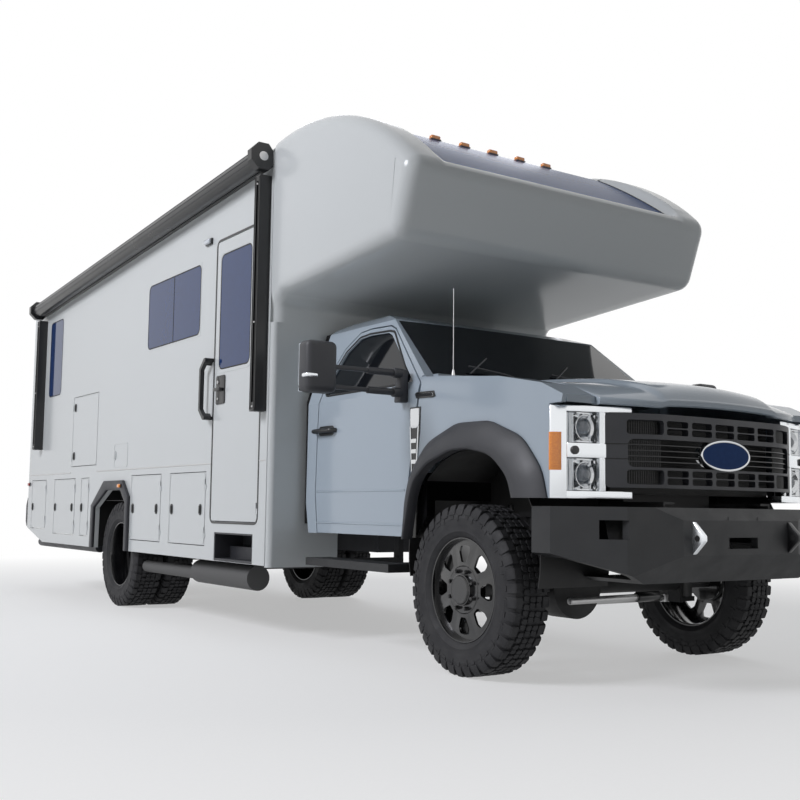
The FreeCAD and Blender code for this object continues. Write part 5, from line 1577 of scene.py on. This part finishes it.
@dataclass
class Flare:
    """The dark flares round all arches: swept lofts in front, flat sheet behind."""

    inner: tuple[tuple[float, float], ...] = (
        (500, 731), (447, 966), (400, 1080), (280, 1170), (60, 1236), (-100, 1240), (-300, 1200),
        (-440, 1080), (-473, 972))
    outer: tuple[tuple[float, float], ...] = (
        (553, 731), (547, 966), (500, 1130), (330, 1300), (60, 1392), (-230, 1390), (-500, 1290),
        (-650, 1120), (-690, 972))

    def even(self, points: Sequence[tuple], count: int = 44) -> list[tuple[float, float]]:
        """Round an open outline and space its points evenly by length.

        Args:
            points: The outline's corners.
            count: How many equal steps it gets.

        Returns:
            The spaced points.
        """
        path = rounded_path([(along, up, 0.0) for along, up in points], 260.0, 8)
        lengths = [0.0]
        for before, after in zip(path, path[1:]):
            lengths.append(lengths[-1] + (after - before).length)
        spaced, index = [], 0
        for step in range(count + 1):
            wanted = lengths[-1] * step / count
            while index < len(lengths) - 2 and lengths[index + 1] < wanted:
                index += 1
            run = lengths[index + 1] - lengths[index]
            share = (wanted - lengths[index]) / run if run else 0.0
            spot = path[index].lerp(path[index + 1], share)
            spaced.append((spot.x, spot.y))
        return spaced

    def front(self, shape: Shape, way: int) -> None:
        """Loft one front flare.

        Args:
            shape: The mesh under way.
            way: The side, as one or minus one.
        """
        rings = []
        for inside, outside in zip(self.even(self.inner), self.even(self.outer)):
            ring = []
            for share, out in ((1.0, 1016.3), (1.0, 1028), (0.94, 1040), (0.62, 1068), (0.34, 1083),
                               (0.16, 1087), (0.05, 1084), (0.0, 1076), (0.0, 1016.3)):
                along = inside[0] + (outside[0] - inside[0]) * share
                up = inside[1] + (outside[1] - inside[1]) * share
                ring.append(at(way * out, along, up))
            rings.append(ring)
        shape.loft(rings)

    def rear(self, shape: Shape, way: int) -> None:
        """Cut one rear flare from a flat sheet.

        Args:
            shape: The mesh under way.
            way: The side, as one or minus one.
        """
        arch = ((-330, 0), (-330, 420), (-200, 539), (180, 539), (520, 380), (532, 0))
        outer = ((600, 0), (590, 400), (250, 625), (-240, 625), (-395, 480), (-395, 0))
        points = [(4910 + along, 510 + up) for along, up in arch + outer]
        shape.prism(side_view(points), Axis.X, way * 1.2703, way * 1.300, 0.007)

    def arc(self, radius: float, turns: Iterable[float]) -> list[tuple]:
        """Follow a front arch at one radius.

        Args:
            radius: The radius in millimetres.
            turns: The angles of its points.

        Returns:
            Its (Y, Z) points in metres.
        """
        return [(ARCH_MIDDLE[1] + radius / 1000 * math.cos(turn),
                 ARCH_MIDDLE[2] + radius / 1000 * math.sin(turn)) for turn in turns]

    def build(self) -> None:
        """Make the flares and the dark liners inside the arches."""
        shape = Shape()
        for way in (1, -1):
            self.front(shape, way)
            self.rear(shape, way)
        shape.piece("flares", [MOULDED], "chassis", "dark_plastic", ["fender_flares"], 35.0)
        liner = Shape()
        turns = [math.radians(turn) for turn in range(-14, 195, 8)]
        band = self.arc(585.0, turns) + self.arc(591.0, reversed(turns))
        wall = self.arc(588.0, turns[4:-4])
        for way in (1, -1):
            liner.prism(band, Axis.X, way * 0.500, way * 0.985)
            liner.prism(wall, Axis.X, way * 0.500, way * 0.506)
            for along in (4336, 5480):
                liner.box(at(way * 620, along, 520), at(way * 1228, along + 5, 955))
            liner.box(at(way * 620, 4336, 952), at(way * 1228, 5485, 957))
            liner.box(at(way * 615, 4336, 740), at(way * 620, 5485, 957))
        liner.piece("arch_liners", [EPDM], "chassis", "dark_plastic")


# House


@dataclass
class Glazing:
    """Flush dark panes with round corners over the house's window openings."""

    radius: float = 0.055
    entry_pane: Opening = (2200, 2726, 1935, 2820)

    def pane(
        self, name: str, body: str, way: int, opening: Opening, splits: Sequence[float] = (),
    ) -> None:
        """Set one pane in a thin ring that rounds the opening's corners.

        Args:
            name: The piece's name.
            body: The body it rides on.
            way: The side, as one or minus one.
            opening: Its place in the side.
            splits: Where upright bars divide the pane.
        """
        start, end, bottom, top = opening
        wide = side_view([(start - 12, bottom - 12), (end + 12, bottom - 12),
                          (end + 12, top + 12), (start - 12, top + 12)])
        shape = Shape()
        hole = side_outline(opening, 0, self.radius)
        shape.plate(wide, [hole], Axis.X, way * 1.2690, way * 1.2712)
        shape.use(1).plate(side_outline(opening, 1, self.radius),
                           [side_outline(opening, 10, self.radius - 0.009)], Axis.X,
                           way * 1.2650, way * 1.2722)
        shape.use(2).prism(side_outline(opening, 9, self.radius - 0.008), Axis.X, way * 1.2660,
                           way * 1.2712)
        for split in splits:
            shape.use(1).box(at(way * 1270.5, split - 5, bottom + 12),
                             at(way * 1272.4, split + 5, top - 12))
        shape.piece(name, [GEL_COAT, EPDM, DARK_GLASS], body, "glass", (), 30.0)

    def build(self) -> None:
        """Glaze both sides and the entry door."""
        self.pane("side_window_front", "chassis", -1, (3100, 4215, 2255, 2820), (3650,))
        self.pane("side_window_rear", "chassis", -1, (6690, 7130, 2068, 2890))
        self.pane("left_window_front", "chassis", 1, (2500, 3700, 2255, 2820), (3100,))
        self.pane("left_window_rear", "chassis", 1, (5900, 6900, 2255, 2820), (6400,))
        self.pane("door_window", "entry_door", -1, self.entry_pane)


@dataclass
class Panels:
    """Trims of the house sides: door frame, locks, bay rims with latches, hatch and moulding."""

    right_bays: tuple[tuple[float, float, float], ...] = (
        (7077, 7629, 648), (6080, 6790, 610), (5655, 5900, 610), (3800, 4500, 610),
        (2900, 3617, 610))
    left_bays: tuple[tuple[float, float, float], ...] = ((5800, 6700, 610), (2900, 3700, 610))
    top: float = 1176.0

    def rim(
        self, shape: Shape, way: int, opening: Opening, inset: float, width: float,
        proud: float, radius: float = 0.045,
    ) -> None:
        """Lay a raised rim with round corners inside an opening's outline.

        Args:
            shape: The mesh under way.
            way: The side, as one or minus one.
            opening: Its place in the side.
            inset: Distance from the outline to the rim, less than zero for outside it.
            width: The rim's width.
            proud: How far it stands out.
            radius: Radius of its outer corners.
        """
        loops = [side_outline(opening, step, max(0.004, radius - (step - inset) / 1000))
                 for step in (inset, inset + width)]
        shape.plate(loops[0], loops[1:], Axis.X, way * 1.2699, way * (1.270 + proud / 1000))

    def latch(self, shape: Shape, way: int, along: float, up: float) -> None:
        """Set an oval latch with its lever in a dished plate.

        Args:
            shape: The mesh under way.
            way: The side, as one or minus one.
            along: Distance of its middle behind the front axle.
            up: Height of its middle.
        """
        dish = side_outline((along - 22, along + 22, up - 42, up + 42), 0, 0.0215, 8)
        shape.prism(dish, Axis.X, way * 1.2699, way * 1.2775, 0.002, 2, True)
        lever = side_outline((along - 11, along + 11, up - 30, up + 30), 0, 0.0105, 6)
        shape.prism(lever, Axis.X, way * 1.277, way * 1.2835, 0.0022, 2, True)

    def bay(
        self, name: str, body: str, way: int, opening: Opening, latches: Sequence[tuple],
    ) -> None:
        """Trim one hinged hatch.

        Args:
            name: The piece's name.
            body: The hatch's body.
            way: The side, as one or minus one.
            opening: Its place in the side.
            latches: Distances of its latches behind the front axle, each with a height.
        """
        shape = Shape()
        self.rim(shape, way, opening, 9, 7, 2.2)
        shape.use(1)
        for along, up in latches:
            self.latch(shape, way, along, up)
        shape.piece(name, [GEL_COAT, SATIN_BLACK], body, "gel_coat", (), 30.0)

    def entry(self) -> None:
        """Frame the entry door and fit its lock."""
        shape = Shape()
        self.rim(shape, -1, (2027, 2800, 799, 2930), -15, 14, 3.0, 0.060)
        shape.piece("door_frame", [SATIN_BLACK], "chassis", "black_steel", (), 30.0)
        lock = Shape()
        plate = side_outline((2600, 2752, 1674, 1891), 0, 0.018)
        lock.prism(plate, Axis.X, -1.2699, -1.2785, 0.003, 2, True)
        lock.box(at(-1312, 2622, 1770), at(-1296, 2735, 1796), 0.005, 3)
        lock.box(at(-1300, 2625, 1772), at(-1276, 2643, 1794), 0.003)
        lock.use(1).rod(at(-1278, 2712, 1840), at(-1286, 2712, 1840), 0.014, segments=24,
                        bevel=0.002)
        lock.rod(at(-1278, 2712, 1716), at(-1284, 2712, 1716), 0.010, segments=24, bevel=0.0015)
        lock.use(2)
        self.rim(lock, -1, Glazing.entry_pane, -26, 22, 2.4, 0.070)
        lock.piece("door_lock", [SATIN_BLACK, STEEL, GEL_COAT], "entry_door", "black_steel")

    def moulding(self) -> None:
        """Run the thin bright moulding along both sides, broken at the doors."""
        shape = Shape()
        for way, runs in ((-1, ((1910, 2010), (2818, 5445), (6250, 7760))),
                          (1, ((1910, 7760),))):
            for start, end in runs:
                shape.box(at(way * 1269.5, start, 1227), at(way * 1273.5, end, 1237), 0.0015)
        shape.use(1)
        self.rim(shape, -1, (4620, 4970, 1255, 1475), 0, 9, 2.5, 0.030)
        self.latch(shape, -1, 4940, 1365)
        shape.piece("side_mouldings", [STEEL, GEL_COAT], "chassis", "aluminium", (), 30.0)

    def build(self) -> None:
        """Trim both sides."""
        for way, bays, word in ((-1, self.right_bays, ""), (1, self.left_bays, "left_")):
            for number, (start, end, bottom) in enumerate(bays, start=1):
                spots = [(end - 60, 885)] if end - start > 300 else [(end - 40, 885)]
                if end - start > 650:
                    spots.append((start + 90, 885))
                name = f"{word}bay_door_{number}"
                self.bay(f"{name}_trim", name, way, (start, end, bottom, self.top), spots)
        self.bay("service_door_trim", "service_door", -1, (5460, 6236, 1292, 2000),
                 [(6160, 1400), (6160, 1890)])
        self.entry()
        self.moulding()


@dataclass
class Awning:
    """Channels, rivets and end caps on the awning's case and arms."""

    front: float = 1905.0
    rear: float = 7390.0
    roller: float = 73.0
    roller_out: float = -1352.0

    def axis_height(self, along: float) -> float:
        """Find the height of the roller's middle.

        Args:
            along: Distance behind the front axle.

        Returns:
            The height there.
        """
        return 3356 - 308 * (along - self.front) / (self.rear - self.front)

    def build(self) -> None:
        """Add the fine pieces."""
        shape = Shape()
        for start, bottom in ((1925, 1571), (7280, 1510)):
            top = self.axis_height(start + 40) - 118
            for step in (4, 22, 58, 78):
                shape.use(0).box(at(-1361, start + step, bottom + 8),
                                 at(-1357, start + step + 5, top - 6), 0.001, 1)
            shape.use(1)
            for up in (bottom + 30, bottom + 620, top - 60):
                shape.rod(at(-1357, start + 43, up), at(-1363, start + 43, up), 0.008, 0.006, 16)
            shape.use(0).box(at(-1364, start + 8, bottom - 4), at(-1275, start + 78, bottom + 10),
                             0.004)
        shape.use(2)
        for angle in (150, 178, 206):
            out = self.roller_out + self.roller * math.cos(math.radians(angle))
            rise = self.roller * math.sin(math.radians(angle))
            shape.tube([at(out, along, self.axis_height(along) + rise)
                        for along in (self.front + 60, self.rear - 60)], 0.0022, 6)
        for along in (self.front - 11, self.rear + 11):
            up = self.axis_height(along)
            shape.use(1).rod(at(self.roller_out, along - 3, up), at(self.roller_out, along + 3, up),
                             0.034, segments=28, bevel=0.002)
        shape.piece("awning_fittings", [SATIN_BLACK, STEEL, MOULDED], "chassis", "black_steel")


# Cab


@dataclass
class CabTrim:
    """Handles, mirrors, seals, vents, cowl, wipers, antenna and the boot behind the cab."""

    half: float = 1016.0
    lean: float = 0.3

    def door(self, side: Side) -> None:
        """Fit one cab door's handle, mouldings and glass seal.

        Args:
            side: Which side of the vehicle.
        """
        way, word = side.value, side.word
        shape = Shape()
        foot, grip_out = way * self.half, way * (self.half + 40)
        grip = rounded_path([at(foot, 1402, 1424), at(grip_out, 1420, 1424),
                             at(grip_out, 1640, 1424), at(foot, 1658, 1424)], 0.022, 5)
        shape.tube(grip, 0.0155, 14)
        cup = side_outline((1425, 1632, 1392, 1458), 0, 0.030)
        shape.prism(cup, Axis.X, way * 1.0158, way * 1.0178, 0.001, 1, True)
        window = [(560, 1664), (900, 2032), (960, 2046), (1200, 2056), (1318, 2046), (1452, 1960),
                  (1566, 1780), (1600, 1662)]
        line = [at(way * (1012 - self.lean * (up - 1620)), along, up) for along, up in window]
        start = Vector(line[0]).lerp(Vector(line[-1]), 0.5)
        shape.use(1).tube(rounded_path([start, *line, start], 0.05, 5), 0.009, 8)
        shape.use(2).box(at(way * 1015, 585, 1014), at(way * 1020, 1655, 1026), 0.0022)
        shape.box(at(way * 1015, 585, 806), at(way * 1021, 1640, 818), 0.0025)
        shape.piece(f"door_trim_{word}", [SATIN_BLACK, EPDM, ENAMEL], f"cab_door_{word}",
                    "body_paint", (), 35.0)

    def mirror(self, side: Side) -> None:
        """Make one mirror: a rounded head on two arms, with its glass, marker and collars.

        Args:
            side: Which side of the vehicle.
        """
        way, word = side.value, side.word
        shape = Shape()
        shape.box(at(way * 1540, 500, 1560), at(way * 1740, 628, 1856), 0.036, 5)
        for height in (1590, 1706):
            shape.box(at(way * 1070, 560, height), at(way * 1548, 588, height + 26), 0.006)
        bracket = [(558, 1545), (625, 1545), (605, 1745), (558, 1745)]
        shape.prism(side_view(bracket), Axis.X, way * 1.0163, way * 1.0760, 0.006)
        shape.use(1).box(at(way * 1556, 624, 1600), at(way * 1728, 632, 1845), 0.006)
        shape.box(at(way * 1556, 624, 1566), at(way * 1728, 632, 1592), 0.004)
        shape.use(2).box(at(way * 1672, 496, 1640), at(way * 1748, 560, 1664), 0.009, 3)
        shape.use(0)
        for height in (1603, 1719):
            shape.rod(at(way * 1075, 574, height), at(way * 1300, 574, height), 0.021,
                      segments=20, bevel=0.003)
            shape.rod(at(way * 1060, 574, height), at(way * 1120, 574, height), 0.030,
                      segments=20, bevel=0.004)
        shape.piece(f"mirror_trim_{word}", [MOULDED, MIRROR_GLASS, LAMP_TRIM],
                    f"cab_door_{word}", "dark_plastic", [f"mirror_{word}"], 35.0)

    def fender(self, shape: Shape, way: int) -> None:
        """Fit the vent and the blank name strip on one fender.

        Args:
            shape: The mesh under way.
            way: The side, as one or minus one.
        """
        vent = [(424, 1512), (536, 1512), (530, 1380), (516, 1200), (500, 1003), (470, 1003),
                (452, 1200), (428, 1380)]
        shape.use(0).prism(side_view(vent), Axis.X, way * 1.0155, way * 1.0195, 0.0015, 1)
        shape.use(1)
        for step in range(5):
            up = 1050 + 62 * step
            shape.box(at(way * 1018, 462, up), at(way * 1024, 504 + 3 * step, up + 26), 0.004)
        bright = [(432, 1505), (528, 1505), (524, 1400), (506, 1386), (460, 1386), (436, 1400)]
        shape.prism(side_view(bright), Axis.X, way * 1.0190, way * 1.0255, 0.003)
        for edge in ([(436, 1398), (446, 1398), (470, 1010), (462, 1010)],
                     [(520, 1398), (528, 1398), (500, 1010), (494, 1010)]):
            shape.prism(side_view(edge), Axis.X, way * 1.0190, way * 1.0235)
        strip = [(276, 1562), (300, 1556), (470, 1562), (485, 1590), (462, 1600), (292, 1596)]
        shape.use(0).prism(side_view(strip), Axis.X, way * 1.0155, way * 1.0215, 0.002)
        shape.use(1).prism(side_view([(296, 1566), (460, 1570), (470, 1588), (304, 1586)]), Axis.X,
                           way * 1.0210, way * 1.0228, 0.0008, 1)

    def screen(self, shape: Shape) -> None:
        """Lay the cowl, both wipers and the antenna.

        Args:
            shape: The mesh under way.
        """
        shape.use(0).box(at(-760, 334, 1632), at(760, 400, 1668), 0.006)
        for start, end in ((560, 40), (-120, -640)):
            path = [at(start, 384, 1690), at((start + end) / 2, 420, 1752), at(end, 455, 1786)]
            shape.tube(rounded_path(path, 0.2, 5), 0.007, 8)
            blade = [at(end - 40, 386, 1732), at(end + 150, 470, 1850)]
            shape.tube(blade, 0.005, 6)
            shape.rod(at(start, 384, 1668), at(start, 384, 1696), 0.018, segments=16, bevel=0.003)
        shape.use(2).rod(at(-900, 265, 1690), at(-900, 265, 1724), 0.011, 0.006, 16)
        shape.rod(at(-900, 265, 1720), at(-900, 268, 2208), 0.0025, 0.0016, 8)

    def boot(self, shape: Shape) -> None:
        """Close the gap between cab and house with a ribbed rubber boot.

        Args:
            shape: The mesh under way.
        """
        outer = [(-1.0, 0.8), (1.0, 0.8), (1.0, 1.64), (0.85, 2.13), (-0.85, 2.13), (-1.0, 1.64)]
        for step in range(4):
            ring, hole = ([(across * share, 1.4 + (up - 1.4) * share) for across, up in outer]
                          for share in (0.985 if step % 2 else 1.0, 0.93))
            low = behind(1791) + 0.0145 * step
            shape.use(1).plate(ring, [hole], Axis.Y, low, low + 0.0145)

    def build(self) -> None:
        """Make all of the cab's trim."""
        for side in Side:
            self.door(side)
            self.mirror(side)
        shape = Shape()
        for way in (1, -1):
            self.fender(shape, way)
        shape.piece("fender_trim", [SATIN_BLACK, CHROME], "chassis", "bright", (), 35.0)
        front = Shape()
        self.screen(front)
        self.boot(front)
        front.piece("cowl_and_boot", [MOULDED, EPDM, STEEL], "chassis", "dark_plastic", (), 35.0)


@dataclass
class Underbody:
    """Steering damper, shock absorbers and the front bumper's fittings."""

    def gear(self, shape: Shape) -> None:
        """Hang the steering damper and the shock absorbers.

        Args:
            shape: The mesh under way.
        """
        shape.use(0).rod(at(-420, -205, 400), at(120, -205, 404), 0.020, segments=20, bevel=0.003)
        shape.use(1).rod(at(120, -205, 404), at(300, -205, 406), 0.030, segments=20, bevel=0.003)
        for way in (1, -1):
            shape.use(0).rod(at(way * 520, 150, 560), at(way * 500, 190, 800), 0.016, segments=16)
            shape.use(1).rod(at(way * 500, 190, 780), at(way * 490, 210, 940), 0.030, segments=20,
                             bevel=0.004)
            shape.rod(at(way * 470, 4560, 430), at(way * 455, 4480, 800), 0.027, segments=20)

    def bumper(self, shape: Shape) -> None:
        """Dress the bumper: recovery tabs, small slots drawn in painted shade, and bolt heads.

        Args:
            shape: The mesh under way.
        """
        tab = [(-1076, 861), (-1084, 861), (-1151, 791), (-1151, 764), (-1084, 697), (-1076, 697)]
        for way, paint in ((-1, 2), (1, 1)):
            shape.use(paint).prism(side_view(tab), Axis.X, way * 0.3685, way * 0.3975, 0.003)
            shape.use(3).rod(at(way * 367.5, -1112, 778), at(way * 398.5, -1112, 778), 0.016,
                             segments=20)
        shape.use(3)
        # The small slots are thin near-black strips on the bumper's face: painted shade for the
        # slot openings.
        for out in (-118, 118):
            shape.box(at(out - 3, -1079.5, 850), at(out + 3, -1077, 888))
            for up in (728, 774):
                shape.rod(at(out, -1078, up), at(out, -1080.5, up), 0.005, segments=12)

    def build(self) -> None:
        """Make the low pieces."""
        shape = Shape()
        self.gear(shape)
        self.bumper(shape)
        shape.piece("underbody", [STEEL, SATIN_BLACK, LAMP_TRIM, EPDM], "chassis", "bare_steel",
                    (), 35.0)


# Stage


@dataclass
class Studio:
    """A pale floor, soft lamps and the photograph's camera, all in metres."""

    floor_size: float = 120.0
    lens_mm: float = 48.47
    sensor_mm: float = 36.0
    camera_place: tuple[float, float, float] = (-4.6528, -4.7548, 0.9061)
    yaw: float = math.radians(34.7)
    pitch: float = math.radians(5.2)
    roll: float = math.radians(0.7)
    picture: float = 800.0
    middle: tuple[float, float] = (413.9, 411.4)

    def seen(self, material: bpy.types.Material | bpy.types.World) -> bpy.types.NodeSocket:
        """Tell rays that show the background from those that light the vehicle.

        Args:
            material: The floor's material, or the world.

        Returns:
            One for a camera, mirror or glass ray, and zero for the others.
        """
        path = add_node(material, "LightPath")
        total = path.outputs["Is Camera Ray"]
        for name in ("Is Glossy Ray", "Is Transmission Ray"):
            total = add_node(material, "Math", {0: total, 1: path.outputs[name]},
                             operation="ADD", use_clamp=True).outputs[0]
        return total

    def floor(self) -> None:
        """Lay a floor that the camera sees as white and that keeps the vehicle's shadow."""
        mesh = bpy.data.meshes.new("floor")
        shape = bmesh.new()
        bmesh.ops.create_grid(shape, x_segments=1, y_segments=1, size=self.floor_size)
        shape.to_mesh(mesh)
        shape.free()
        item = bpy.data.objects.new("floor", mesh)
        bpy.context.scene.collection.objects.link(item)
        material = bpy.data.materials.new("pale_floor")
        material.use_nodes = True
        shader = material.node_tree.nodes["Principled BSDF"]
        place = add_node(material, "TexCoord").outputs["Object"]
        grit = add_node(material, "TexNoise", {"Vector": place}, Scale=60.0, Detail=4.0)
        tone = add_node(
            material, "Mix", {"Factor": grit.outputs["Fac"], MIX_FIRST: linear("f3f3f2"),
                              MIX_SECOND: linear("fbfbfa")}, data_type="RGBA"
        )
        material.node_tree.links.new(tone.outputs[MIX_RESULT], shader.inputs["Base Color"])
        shader.inputs["Roughness"].default_value = 0.7
        reach = add_node(material, "VectorMath", {0: place}, operation="LENGTH")
        far = add_node(material, "MapRange", {"Value": reach.outputs["Value"]},
                       From_Min=4.5, From_Max=11.0, To_Min=0.45, To_Max=1.0)
        white = add_node(material, "Emission", Color=(1.0, 1.0, 1.0, 1.0), Strength=1.0)
        share = add_node(material, "Math", {0: self.seen(material), 1: far.outputs["Result"]},
                         operation="MULTIPLY")
        mix = add_node(material, "MixShader", {0: share.outputs[0], 1: shader.outputs[0],
                                               2: white.outputs[0]})
        out = material.node_tree.nodes["Material Output"].inputs["Surface"]
        material.node_tree.links.new(mix.outputs[0], out)
        item.data.materials.append(material)

    def world(self) -> None:
        """Surround the vehicle with a soft grey light that shows white to the camera."""
        world = bpy.data.worlds.new("studio")
        bpy.context.scene.world = world
        world.use_nodes = True
        light = world.node_tree.nodes["Background"]
        light.inputs["Color"].default_value = linear("e4ebf2")
        light.inputs["Strength"].default_value = 0.15
        white = add_node(world, "Background", {"Color": (1.0, 1.0, 1.0, 1.0)})
        mix = add_node(world, "MixShader", {0: self.seen(world), 1: light.outputs[0],
                                            2: white.outputs[0]})
        out = world.node_tree.nodes["World Output"].inputs["Surface"]
        world.node_tree.links.new(mix.outputs[0], out)

    def lamp(self, name: str, place: Point, size: float, power: float, tint: str) -> None:
        """Hang one square soft box that faces the vehicle's middle.

        Args:
            name: The lamp's name.
            place: Where it hangs.
            size: Length of its sides.
            power: Its strength in watts.
            tint: Its colour.
        """
        light = bpy.data.lights.new(name, "AREA")
        light.shape = "SQUARE"
        light.size = size
        light.energy = power
        light.color = linear(tint)[:3]
        item = bpy.data.objects.new(name, light)
        bpy.context.scene.collection.objects.link(item)
        item.location = Vector(place)
        aim = Vector((0.0, 0.0, 1.6)) - item.location
        item.rotation_euler = aim.to_track_quat("-Z", "Y").to_euler()

    def camera(self) -> None:
        """Set the camera that was solved from the photograph."""
        data = bpy.data.cameras.new("camera")
        data.sensor_width = self.sensor_mm
        data.lens = self.lens_mm
        half = self.picture / 2
        data.shift_x = (half - self.middle[0]) / self.picture
        data.shift_y = (self.middle[1] - half) / self.picture
        data.clip_end = 300.0
        item = bpy.data.objects.new("camera", data)
        bpy.context.scene.collection.objects.link(item)
        across, along, up = self.camera_place
        item.location = (across, along + FRONT_AXLE, up)
        level = Vector((math.sin(self.yaw), math.cos(self.yaw), math.tan(self.pitch)))
        turn = level.to_track_quat("-Z", "Y").to_matrix().to_4x4()
        item.matrix_world = (
            Matrix.Translation(item.location) @ turn @ Matrix.Rotation(self.roll, 4, "Z")
        )
        bpy.context.scene.camera = item

    def build(self) -> None:
        """Make the floor, the lights and the camera."""
        self.floor()
        self.world()
        self.lamp("key_soft_box", (-13.0, -0.6, 9.5), 5.0, 1350.0, "f6f7ff")
        self.lamp("rear_soft_box", (9.0, 12.0, 9.0), 8.0, 420.0, "f4f6ff")
        self.camera()
        bpy.context.scene.view_settings.view_transform = "Standard"


def main() -> None:
    """Dress the frame, build every sub-assembly and set the stage."""
    logging.basicConfig(level=logging.INFO, format="%(message)s")
    dress_nodes()
    RunningGear().build()
    Cap().build()
    Lamps().build()
    Hood().build()
    Grille().build()
    Headlamps().build()
    Flare().build()
    Glazing().build()
    Panels().build()
    Awning().build()
    CabTrim().build()
    Underbody().build()
    Studio().build()


if __name__ == "__main__":
    main()
